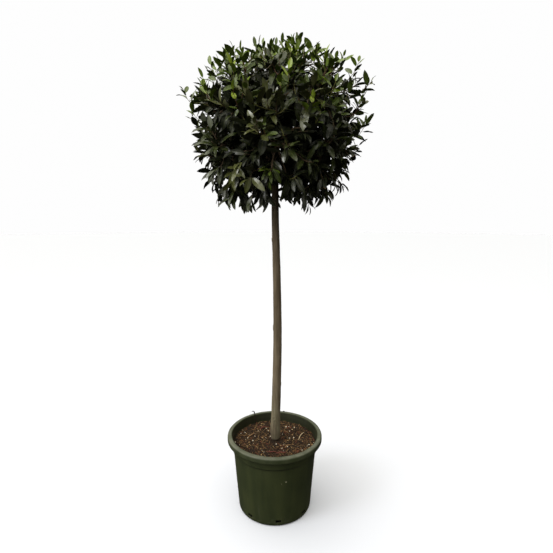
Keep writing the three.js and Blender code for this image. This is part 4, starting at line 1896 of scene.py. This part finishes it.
STRAYS = rows(
    Stray,
    (-52, 68, 1.1), (-128, 34, 1.08), (179, 23, 1.09), (-4, 4, 1.1), (-42, 42, 1.06), (70, 40, 1.06),
    (150, 60, 1.07),
)
FLUSHES = rows(
    Flush,
    (-67, 54, 1.04), (-84, 50, 1.0), (-126, 38, 1.03), (-122, 40, 1.02, FRESH, 0.7), (-140, 33, 1.03),
    (-146, 37, 1.02, YOUNG, 0.66), (-152, 34, 1.02, FRESH, 0.66), (-149, 24, 0.98),
    (-100, 43, 1.01, YOUNG, 0.62), (-78, 45, 1.0, LIME), (-88, 33, 0.98, FRESH),
    (-97, 33, 0.98, OLIVE, 0.75), (-4, 4, 1.08, FRESH, 0.95), (-13, 2, 1.04, MATURE, 0.95),
    (-24, -12, 1.02, MATURE, 0.9), (-30, 12, 1.0, FRESH, 0.8), (-170, 8, 1.04, MATURE, 0.75),
    (-167, -4, 1.03, DEEP, 0.85), (-62, 50, 0.99, FRESH), (-106, 43, 1.0, FRESH), (-95, 48, 0.98),
    (-113, 35, 1.0), (-119, 29, 0.98, LIME), (-132, 34, 1.01), (-138, 18, 0.98), (-158, 31, 1.05),
    (-163, 20, 1.11, FRESH, 0.8), (-115, 13, 0.96, LIME), (-108, 17, 0.97), (-117, 22, 0.97, FRESH),
    (-74, 40, 0.98), (-82, 24, 0.95, LIME), (-87, 18, 0.95), (-69, 8, 0.96, LIME), (-64, 3, 0.96, FRESH),
    (-150, -52, 1.0, MATURE, 0.95), (-168, -50, 1.0, DEEP, 0.9), (-128, -60, 1.0, MATURE, 0.9),
    (-30, -48, 1.04, DEEP, 0.95), (-14, -38, 1.04, MATURE, 0.95), (-40, -60, 1.04, DEEP, 0.9),
    (-110, 56, 0.99), (-142, 58, 0.99), (-160, 40, 1.02, LIME, 0.7), (-68, 72, 0.99, LIME, 0.7),
    (-100, 74, 0.99), (20, 84, 1.01, YOUNG, 0.75), (120, 80, 1.0, FRESH, 0.75), (-160, 80, 0.99, LIME, 0.7),
    (-30, 62, 1.02, YOUNG, 0.7), (-20, 44, 1.02, YOUNG, 0.7), (-134, 44, 1.01, YOUNG, 0.72),
    (-90, 56, 0.98, FRESH, 0.75), (-130, 52, 1.0, LIME, 0.72), (-96, 62, 0.97, YOUNG, 0.7),
    (-150, 46, 1.02, LIME, 0.7), (-60, 60, 0.99, LIME, 0.7), (-40, 54, 1.0, YOUNG, 0.7),
    (-120, 66, 0.98, LIME, 0.66), (-75, 66, 1.0, YOUNG, 0.7), (-50, 69, 1.1, FRESH, 0.78),
    (-62, 68, 1.07, YOUNG, 0.75), (-57, 28, 0.98), (-56, 35, 1.03, LIME), (-48, 34, 1.03), (-52, 20, 0.97),
    # The OLIVE sprays low on the left, at -111 and -119 degrees, are pale where the leaves catch the light:
    # painted sheen.
    (-43, 16, 1.0, FRESH), (-97, -6, 0.94, FRESH), (-38, 35, 1.0, FRESH), (-111, -38, 0.95, OLIVE, 1.2),
    (-119, -31, 0.93, OLIVE, 1.0), (-69, 15, 0.95, OLIVE, 1.05), (-95, 10, 0.94, OLIVE, 1.05),
)
NEIGHBOURS = tuple(product((-1, 0, 1), repeat=3))


@dataclass
class Crown:
    """The head's shoots and leaves, grown outwards from the limbs."""

    head: Head
    main_count: int = 90
    start: float = 0.68
    end: float = 0.87
    pull: float = 0.3
    sag: float = 16.0
    trunk_angle: float = 23.0
    side_count: int = 315
    side_in: float = 0.53
    side_out: float = 0.94
    side_bias: float = 0.95
    bay: float = 0.25
    inner_count: int = 150
    flush_count: int = 70
    leaf_length: float = 60.0
    leaf_spread: float = 0.28
    open_base: float = 80.0
    open_tip: float = 36.0
    droop: float = 0.52
    droop_more: float = 0.8
    droop_below: float = 0.2
    lift: float = 0.08
    face_axis: float = 0.6
    face_out: float = 0.25
    face_up: float = 0.9
    roll: float = 0.42
    rise: float = 0.7
    overshoot: float = 1.06
    stem_room: float = 27.0
    apart: float = 6.5
    clipped_share: float = 0.05
    # Older sprays' leaves nearer the centre than this share of the reach take the DEEP tone as painted shade
    deep_within: float = 0.73
    seed: int = 8
    strays: tuple[Stray, ...] = STRAYS
    flushes: tuple[Flush, ...] = FLUSHES
    voids: tuple[Triple, ...] = ((-81, -3, 9.0), (-92, -24, 6.5), (-79, -38, 5.0), (-70, -52, 5.0))
    void_from: float = 0.74
    trims: tuple[Lobe, ...] = rows(
        Lobe,
        (-5, 32, 12, 0.15), (-8, 52, 9, -0.11), (-25, 66, 10, 0.1), (-80, 86, 44, -0.08),
        (-170, 46, 19, -0.16), (-12, -67, 13, -0.1), (-172, -8, 10, -0.07), (-5, -6, 12, -0.12),
    )
    bare_below: float = -0.32
    bare_share: float = 0.35

    def __post_init__(self) -> None:
        """Set out what is kept while the crown grows."""
        self.limbs = self.head.limbs()
        self.chance = random.Random(self.seed)
        self.taken: dict[tuple[int, ...], list[Vector]] = {}
        self.stem_tip = self.head.stem.path().at(1.0) - self.head.centre
        self.void_ways = [(aimed(*way), cos(radians(width))) for *way, width in self.voids]

    def _spread_ways(self, count: int) -> list[Vector]:
        """Spread directions evenly over the head, but not round the stem.

        Args:
            count: How many the whole round would have.

        Returns:
            The directions.
        """
        levels = enumerate(1.0 - 2.0 * (i + 0.5) / count for i in range(count))
        lowest = -cos(radians(self.trunk_angle))
        return [direction(i * GOLDEN_ANGLE, asin(z)) for i, z in levels if z > lowest]

    def _trim(self, way: Vector) -> float:
        """Return how far the shears left the face out or in, in a direction, as a share of the reach."""
        return sum(trim.at(way) for trim in self.trims)

    def _nearest_limb(self, way: Vector) -> int:
        """Return the number of the mass that a direction belongs to."""
        return max(range(len(self.limbs)), key=lambda number: self.limbs[number].way.dot(way))

    def _tone(self, way: Vector) -> Tone:
        """Deal an older spray its tone: fresher towards the top, and deeper below, which is partly painted
        shade.

        Args:
            way: Where the spray looks.

        Returns:
            The tone.
        """
        draw = self.chance.random()
        fresh = 0.03 + 0.62 * max(0.0, way.z) ** 1.5
        if draw < fresh:
            return FRESH
        if draw < fresh + 0.2 + 0.1 * way.z:
            return OLIVE
        # Deeper below: older leaves, and painted shade on the head's underside.
        return DEEP if draw > 0.72 + 0.4 * way.z else MATURE

    def leader(self, limb: Limb) -> Path:
        """Grow on from a bough's tip, or the stem's, into its mass.

        Args:
            limb: The mass's limbs.

        Returns:
            The leader's line.
        """
        away = limb.bough.tangent(1.0) if limb.bough else UP.copy()
        end = limb.way * (self.head.hollow(limb.way) + self.head.stub_depth)
        bend = limb.entry + away * ((end - limb.entry).length / 3.0)
        return Path([limb.entry - away * 2.0, bend, end, limb.way * self.head.reach(limb.way) * 0.66])

    def _main_shoot(self, limb: Limb, leader: Path, way: Vector, reach: float) -> Shoot:
        """Grow a main shoot out of a leader, through the source's start, to its tip inside the outline.

        Args:
            limb: The mass's limbs.
            leader: What bears the shoot.
            way: Where it looks.
            reach: A stray's end as a share of the head's reach; 1 for the others.

        Returns:
            The shoot.
        """
        start = way.lerp(limb.way, self.pull).normalized()
        start *= self.head.reach(start) * self.start
        stray = reach > 1.0
        share = 1.0 if stray else self.chance.uniform(0.88, 1.06) + self._trim(way)
        end = way * self.head.reach(way) * reach * self.end * share
        middle = start.lerp(end, 0.5) - UP * self.sag * (1.0 - abs(way.z))
        fork = leader.at(max(0.12, 0.92 - angle_between(way, limb.way) * 1.1))
        line = Path([fork, fork.lerp(start, 0.5) + leader.tangent(0.6) * 9.0, start, middle, end])
        tone, kind = (FRESH, Kind.FLUSH) if stray else (self._tone(way), Kind.MAIN)
        size = lerp(1.0, 0.68, max(0.0, way.z))
        return Shoot(line, way, reach, 3.5, 1.7, Skin.BROWN, tone, 11, 0.5, size, kind)

    def _side_shoot(self, parent: Shoot, way: Vector) -> Shoot:
        """Grow a finer shoot out of a main one towards the outline, turning up to the light.

        Args:
            parent: The main shoot.
            way: Where the finer one looks.

        Returns:
            The shoot.
        """
        chance = self.chance
        out = lerp(self.side_in, self.side_out, chance.random() ** self.side_bias)
        out *= 1.0 + self.bay * (0.6 * grain(way, 2.4) + 0.4 * grain(way, 5.5)) + self._trim(way)
        end = way * self.head.reach(way) * out
        place = parent.path.at(chance.uniform(0.45, 0.82))
        away = (end - place).length
        bend = place.lerp(end, 0.55) + way * away * 0.06 - UP * away * 0.24 * max(0.0, way.z + 0.35)
        tone = self._tone(way)
        fresh = tone is FRESH
        skin = chance.choice((Skin.RED, Skin.GREEN) if fresh else (Skin.BROWN, Skin.GREEN))
        first = max(0.12, 1.0 - chance.uniform(62.0, 92.0) / max(away, 60.0))
        size = lerp(1.04, 0.66, max(0.0, way.z)) * (0.86 if fresh else 1.0)
        count = chance.choice((6, 7, 8))
        return Shoot(Path([place, bend, end]), way, 1.0, 1.7, 0.9, skin, tone, count, first, size, Kind.SIDE)

    def _flush_shoot(self, parent: Shoot, flush: Flush) -> Shoot:
        """Grow a soft new shoot that stands up out of the clipped face, with small leaves to its tip.

        Args:
            parent: What bears it.
            flush: Where it looks, and its reach, tone and leaves' size.

        Returns:
            The shoot.
        """
        chance, way = self.chance, flush.way
        end = way * self.head.reach(way) * (flush.reach * 0.975 + self._trim(way))
        place = parent.path.at(chance.uniform(0.5, 0.8))
        run = chance.uniform(34.0, 56.0)
        bend = end - (way * 0.8 + UP * (0.9 if way.z > -0.3 else -0.1)).normalized() * run
        away = (bend - place).length + run
        first = max(0.15, 1.0 - chance.uniform(52.0, 70.0) / max(away, 55.0))
        skin = chance.choice((Skin.RED, Skin.GREEN)) if flush.tone >= FRESH else Skin.BROWN
        size = flush.size * chance.uniform(0.88, 1.12)
        line, count, reach = Path([place, bend, end]), chance.choice((6, 7)), max(flush.reach, 1.0)
        return Shoot(line, way, reach, 1.5, 0.7, skin, flush.tone, count, first, size, Kind.FLUSH)

    def _inner_shoot(self, parent: Shoot, way: Vector) -> Shoot:
        """Grow a short shoot deep in the head, whose old leaves close the view through it; their DEEP tone
        paints shade.

        Args:
            parent: The main shoot that bears it.
            way: Where it looks.

        Returns:
            The shoot.
        """
        end = way * self.head.reach(way) * self.chance.uniform(0.3, 0.62)
        place = parent.path.at(self.chance.uniform(0.1, 0.4))
        line = Path([place, place.lerp(end, 0.5) + way * 8.0, end])
        return Shoot(line, way, 1.0, 1.9, 1.1, Skin.BROWN, DEEP, 8, 0.2, 1.12, Kind.INNER)

    def _strayed(self, way: Vector, spread: float) -> Vector:
        """Return a direction moved at random by about a spread."""
        return (way + Vector(self.chance.gauss(0.0, spread) for _ in range(3))).normalized()

    def _other_flushes(self) -> list[Flush]:
        """Deal new shoots to the sides that the photograph doesn't show.

        Returns:
            About as many as on the front.
        """
        found = []
        for way in self._spread_ways(self.flush_count):
            front = way.y < -0.35
            if way.z < -0.25 + 0.5 * self.chance.random() or (front and self.chance.random() < 0.8):
                continue
            way = self._strayed(way, 0.08)
            tone = self.chance.choice((YOUNG, FRESH, LIME, YOUNG))
            azimuth, elevation = degrees(atan2(way.y, way.x)), degrees(asin(way.z))
            found.append(Flush(azimuth, elevation, self.chance.uniform(0.95, 1.03), tone))
        return found

    def shoots(self) -> list[list[Shoot]]:
        """Grow the shoots.

        Returns:
            Each mass's: the main ones and strays first, then those that leave them.
        """
        leaders = [self.leader(limb) for limb in self.limbs]
        grown: list[list[Shoot]] = [[] for _ in self.limbs]

        def bear(bearers: Sequence[Sequence[Shoot]], way: Vector, grow: Callable, *wanted: Any) -> None:
            """Grow a shoot on the bearer that looks most nearly the same way.

            Args:
                bearers: Each mass's shoots that may bear it.
                way: Where it looks.
                grow: What grows it, given its bearer.
                wanted: What else that needs.
            """
            number = self._nearest_limb(way)
            parent = max(bearers[number], key=lambda shoot: shoot.way.dot(way))
            grown[number].append(grow(parent, *wanted))

        wanted = [(way, 1.0) for way in self._spread_ways(self.main_count)]
        for way, reach in [*wanted, *((stray.way, stray.reach) for stray in self.strays)]:
            number = self._nearest_limb(way)
            grown[number].append(self._main_shoot(self.limbs[number], leaders[number], way, reach))
        mains = [list(shoots) for shoots in grown]
        for way in self._spread_ways(self.side_count):
            way = self._strayed(way, 0.035)
            if way.z >= self.bare_below or self.chance.random() >= self.bare_share:
                bear(mains, way, self._side_shoot, way)
        borne = [[shoot for shoot in shoots if shoot.kind is not Kind.FLUSH] for shoots in grown]
        for flush in [*self.flushes, *self._other_flushes()]:
            bear(borne, flush.way, self._flush_shoot, flush)
        for way in self._spread_ways(self.inner_count):
            bear(mains, way, self._inner_shoot, way)
        return grown

    def _cell(self, place: Vector) -> tuple[int, ...]:
        """Return the box of space that a place is in."""
        return tuple(floor(part / self.apart) for part in place)

    def _crowded(self, place: Vector) -> bool:
        """Look for a leaf that is there already.

        Args:
            place: Where another one would be.

        Returns:
            Whether the place is too close to one.
        """
        x, y, z = self._cell(place)
        others = (other for a, b, c in NEIGHBOURS for other in self.taken.get((x + a, y + b, z + c), ()))
        return any((other - place).length < self.apart for other in others)

    def _fits(self, root: Vector, way: Vector, length: float, reach: float) -> bool:
        """Say whether a leaf has room, and take it if so.

        Args:
            root: Where its stalk starts.
            way: Where it points.
            length: Its length.
            reach: Its shoot's reach, as a share of the head's.

        Returns:
            Whether it keeps inside the head's reach, clear of the stem and of other leaves.
        """
        tip = root + way * length
        depth, looks = self.head.depth(tip), tip.normalized()
        if depth > self.overshoot * reach:
            return False
        if depth > self.void_from and any(looks.dot(void) > width for void, width in self.void_ways):
            return False
        spots = [root + way * length * share for share in (0.45, 0.8)]
        for place in (*spots, tip):
            if place.z < 0.0 and hypot(place.x - self.stem_tip.x, place.y - self.stem_tip.y) < self.stem_room:
                return False
        if any(self._crowded(place) for place in spots):
            return False
        for place in spots:
            self.taken.setdefault(self._cell(place), []).append(place)
        return True

    def _leaf(self, shoot: Shoot, step: int, phase: float) -> Leaf | None:
        """Grow one leaf of a shoot, or none where it finds no room.

        Args:
            shoot: What bears it.
            step: Its number from the shoot's lowest leaf.
            phase: The lowest leaf's turn about the shoot.

        Returns:
            The leaf, about the head's centre.
        """
        chance = self.chance
        rise = step / max(shoot.leaves - 1, 1)
        share = lerp(shoot.first, 1.0, rise**0.85)
        upward = self.rise * max(0.0, shoot.way.z + 0.7) * (1.0 - shoot.way.z)
        axis = (shoot.path.tangent(share) + UP * upward).normalized()
        across = axis.orthogonal().normalized()
        length = self.leaf_length * shoot.size * (1.0 + self.leaf_spread * chance.uniform(-1.0, 1.0))
        length *= lerp(1.04, 0.72, max(0.0, rise - 0.55) / 0.45)
        opening = radians(lerp(self.open_base, self.open_tip, rise) + chance.uniform(-9.0, 9.0))
        if step == shoot.leaves - 1:
            opening *= 0.4
        for attempt in range(4):
            turn = phase + step * GOLDEN_ANGLE + attempt * 0.9 + chance.uniform(-0.2, 0.2)
            outward = Matrix.Rotation(turn, 3, axis) @ across
            way = axis * cos(opening) + outward * sin(opening)
            way.z += self.lift * max(0.0, shoot.way.z)
            hang = self.droop + self.droop_more * max(0.0, self.bare_below - shoot.way.z)
            way.z -= hang * max(0.0, self.droop_below - shoot.way.z) * chance.uniform(-0.2, 2.3)
            way.normalize()
            root = shoot.path.at(share) + outward * shoot.tip_radius * 0.6
            for shorter in (length, length * 0.84):
                if self._fits(root, way, shorter, shoot.reach):
                    turned = self._turned(shoot, way, axis)
                    pattern = self._pattern(shoot, root + way * shorter)
                    return Leaf(root, turned, shorter, pattern, self._leaf_tone(shoot, rise, root))
        return None

    def _leaf_tone(self, shoot: Shoot, rise: float, root: Vector) -> Tone:
        """Give a leaf its spray's tone, but painted shade deep within and a darker one to a new shoot's
        lowest leaves.

        Args:
            shoot: What bears it.
            rise: Its place among the shoot's leaves, from 0 to 1.
            root: Where its stalk starts.

        Returns:
            The tone.
        """
        # Painted shade: older sprays' leaves deep within the head take the DEEP tone.
        if shoot.tone < YOUNG and self.head.depth(root) < self.deep_within:
            return DEEP
        if shoot.tone is LIME:
            return FRESH if rise < 0.25 else YOUNG if rise < 0.6 else LIME
        return FRESH if shoot.tone is YOUNG and rise < 0.4 else shoot.tone

    def _turned(self, shoot: Shoot, way: Vector, axis: Vector) -> Quaternion:
        """Turn a leaf's upper side to the shoot's tip, the outside and the sky.

        Args:
            shoot: What bears it.
            way: Where it points.
            axis: Where the shoot heads there.

        Returns:
            The leaf's turn, with a roll of its own.
        """
        towards = axis * self.face_axis + shoot.way * self.face_out + UP * self.face_up
        side = way.cross(towards).normalized()
        upright = Matrix((side, way, side.cross(way))).transposed().to_quaternion()
        return upright @ Quaternion((0.0, 1.0, 0.0), self.chance.gauss(0.0, self.roll))

    def _pattern(self, shoot: Shoot, tip: Vector) -> int:
        """Choose a leaf's pattern: broad on new shoots, narrow below, and now and then clipped.

        Args:
            shoot: What bears it.
            tip: Where it ends.

        Returns:
            The pattern's number.
        """
        if shoot.tone >= YOUNG:
            return self.chance.choice(YOUNG_PATTERNS)
        if self.head.depth(tip) > 0.95 and self.chance.random() < self.clipped_share:
            return CLIPPED_PATTERN
        return self.chance.choice(NARROW_PATTERNS if shoot.way.z < self.bare_below else WHOLE_PATTERNS)

    def leaves(self, grown: Sequence[Sequence[Shoot]]) -> list[list[Leaf]]:
        """Grow the leaves; over the whole head, each kind of shoot takes its room before the next.

        Args:
            grown: Each mass's shoots.

        Returns:
            Each mass's leaves.
        """
        found: list[list[Leaf]] = [[] for _ in grown]
        order = [(number, shoot) for number, shoots in enumerate(grown) for shoot in shoots]
        for number, shoot in sorted(order, key=lambda pair: pair[1].kind):
            phase = self.chance.uniform(0.0, tau)
            leaves = (self._leaf(shoot, step, phase) for step in range(shoot.leaves))
            found[number] += [leaf for leaf in leaves if leaf]
        return found

    def _point_mesh(self, leaves: Sequence[Leaf]) -> Mesh:
        """Set out what the leaves' node tree reads.

        Args:
            leaves: One mass's leaves.

        Returns:
            A point for each, with its turn, size, pattern and tone.
        """
        mesh = bpy.data.meshes.new("leaf_points")
        mesh.from_pydata([(self.head.centre + leaf.root) * MM for leaf in leaves], [], [])
        carry(mesh, "turn", "QUATERNION", [part for leaf in leaves for part in leaf.turn])
        carry(mesh, "size", "FLOAT", [leaf.length * MM for leaf in leaves])
        carry(mesh, "pattern", "INT", [leaf.pattern for leaf in leaves])
        carry(mesh, "tone", "FLOAT", [float(leaf.tone) for leaf in leaves])
        return mesh

    def _line_mesh(self, limb: Limb, shoots: Sequence[Shoot]) -> Mesh:
        """Set out what the twigs' node tree reads.

        Args:
            limb: The mass's limbs.
            shoots: Its shoots.

        Returns:
            A line for each twig and the leader, with its thickness and skin.
        """
        lines = [(self.leader(limb), limb.radius, limb.radius * 0.55, Skin.BROWN)]
        lines += [(shoot.path, shoot.radius, shoot.tip_radius, shoot.skin) for shoot in shoots]
        places, edges, thickness, skins = [], [], [], []
        for path, radius, tip_radius, skin in lines:
            steps = max(4, round(path.length / 12.0))
            edges += [(len(places) + step, len(places) + step + 1) for step in range(steps)]
            for share in (step / steps for step in range(steps + 1)):
                places.append((self.head.centre + path.at(share)) * MM)
                thickness.append(lerp(radius, tip_radius, share) * MM)
                skins.append(float(skin))
        mesh = bpy.data.meshes.new("twig_lines")
        mesh.from_pydata(places, edges, [])
        carry(mesh, "thickness", "FLOAT", thickness)
        carry(mesh, "skin", "FLOAT", skins)
        return mesh

    def make(self) -> None:
        """Grow every mass and put its leaves in the CAD mass's place, with its twigs beside them."""
        shelf = ShapeShelf("leaf_pattern", [pattern.mesh() for pattern in LEAF_PATTERNS])
        hang, sweep = HungLeaves(), SweptTwigs()
        grown = self.shoots()
        for limb, shoots, leaves in zip(self.limbs, grown, self.leaves(grown)):
            log.info("%s: %d shoots, %d leaves", limb.place, len(shoots), len(leaves))
            twigs = sweep.run(self._line_mesh(limb, shoots), {"Sides": 6})
            twigs.shade_smooth()
            Piece(f"twigs_{limb.place}", "bark").put(twigs)
            hung = hang.run(self._point_mesh(leaves), {"Patterns": shelf.collection})
            Piece(f"leaves_{limb.place}", "leaves", (), (f"foliage_{limb.place}",)).put(hung)
        shelf.clear()


# Studio


@dataclass(frozen=True)
class Studio:
    """The pale floor, the soft light and the camera at the photograph's angle, in metres."""

    eye: Triple = (0.0075, -1.559, 1.173)
    pitch: float = 8.36
    focal: float = 411.0
    frame_side: float = 553.0
    sensor: float = 36.0
    floor_radius: float = 30.0
    sky_seen: float = 0.99
    sky_low: float = 0.035
    sky_high: float = 2.55
    sky_warmth: Colour = (1.0, 0.968, 0.86, 1.0)
    sky_aim: Triple = (-0.3, -0.18, 0.94)
    lamp_place: Triple = (-3.0, -1.7, 3.3)
    lamp_aim: Triple = (0.0, 0.0, 1.1)
    lamp_side: float = 1.6
    lamp_power: float = 82.0

    def floor(self) -> None:
        """Lay the floor."""
        draft = Draft()
        draft.face(draft.add(direction(turn, 0.0) * (self.floor_radius / MM) for turn in turns(96)))
        mesh = draft.mesh("studio_floor")
        mesh.materials.append(STUDIO_FLOOR.material())
        piece = linked("studio_floor", mesh)
        piece.visible_diffuse = False
        piece.visible_glossy = False

    def lamp(self) -> None:
        """Hang the square soft lamp."""
        light = bpy.data.lights.new("soft_side", "AREA")
        light.shape = "SQUARE"
        light.size = self.lamp_side
        light.energy = self.lamp_power
        lamp = linked("soft_side", light)
        lamp.location = self.lamp_place
        aim = Vector(self.lamp_aim) - Vector(self.lamp_place)
        lamp.rotation_euler = aim.to_track_quat("-Z", "Y").to_euler()
        lamp.visible_camera = False

    def sky(self) -> None:
        """Light the scene softly from above and the left, and show a plain pale background behind it."""
        world = bpy.data.worlds.new("studio_sky")
        world.use_nodes = True
        world.node_tree.nodes.clear()
        graph = Graph(world.node_tree)
        way = graph.node("ShaderNodeTexCoord").outputs["Generated"]
        aim = graph.number(graph.vector("DOT_PRODUCT", way, self.sky_aim), "Value")
        seen = graph.number(graph.node("ShaderNodeLightPath"), "Is Camera Ray")
        glow = aim.step(-0.35, 1.0) ** 2.0 * self.sky_high + self.sky_low
        strength = seen * self.sky_seen + (1.0 - seen) * glow
        colour = graph.mix(self.sky_warmth, (1.0, 1.0, 1.0, 1.0), seen)
        light = graph.node("ShaderNodeBackground", {"Color": colour, "Strength": strength})
        graph.node("ShaderNodeOutputWorld", {"Surface": light})
        bpy.context.scene.world = world

    def camera(self) -> None:
        """Set up the camera that took the photograph."""
        lens = bpy.data.cameras.new("portrait_camera")
        lens.sensor_width = self.sensor
        lens.lens = self.focal / self.frame_side * self.sensor
        eye = linked("portrait_camera", lens)
        eye.location = self.eye
        eye.rotation_euler = (radians(90.0 - self.pitch), 0.0, 0.0)
        bpy.context.scene.camera = eye

    def make(self) -> None:
        """Set up the whole studio."""
        for part in (self.floor, self.sky, self.lamp, self.camera):
            part()
        bpy.context.scene.view_settings.view_transform = "Standard"
        bpy.context.scene.view_settings.look = "None"


def main() -> None:
    """Build the plant from the pot up, and report each piece."""
    logging.basicConfig(level=logging.INFO, format="%(name)s %(message)s")
    pot = Pot()
    pot.make()
    compost = Compost(pot)
    compost.bed()
    compost.litter()
    loose_bits()
    stem = Stem()
    stem.make()
    head = Head(stem)
    head.boughs()
    Crown(head).make()
    Studio().make()
    bpy.context.view_layer.update()


if __name__ == "__main__":
    main()
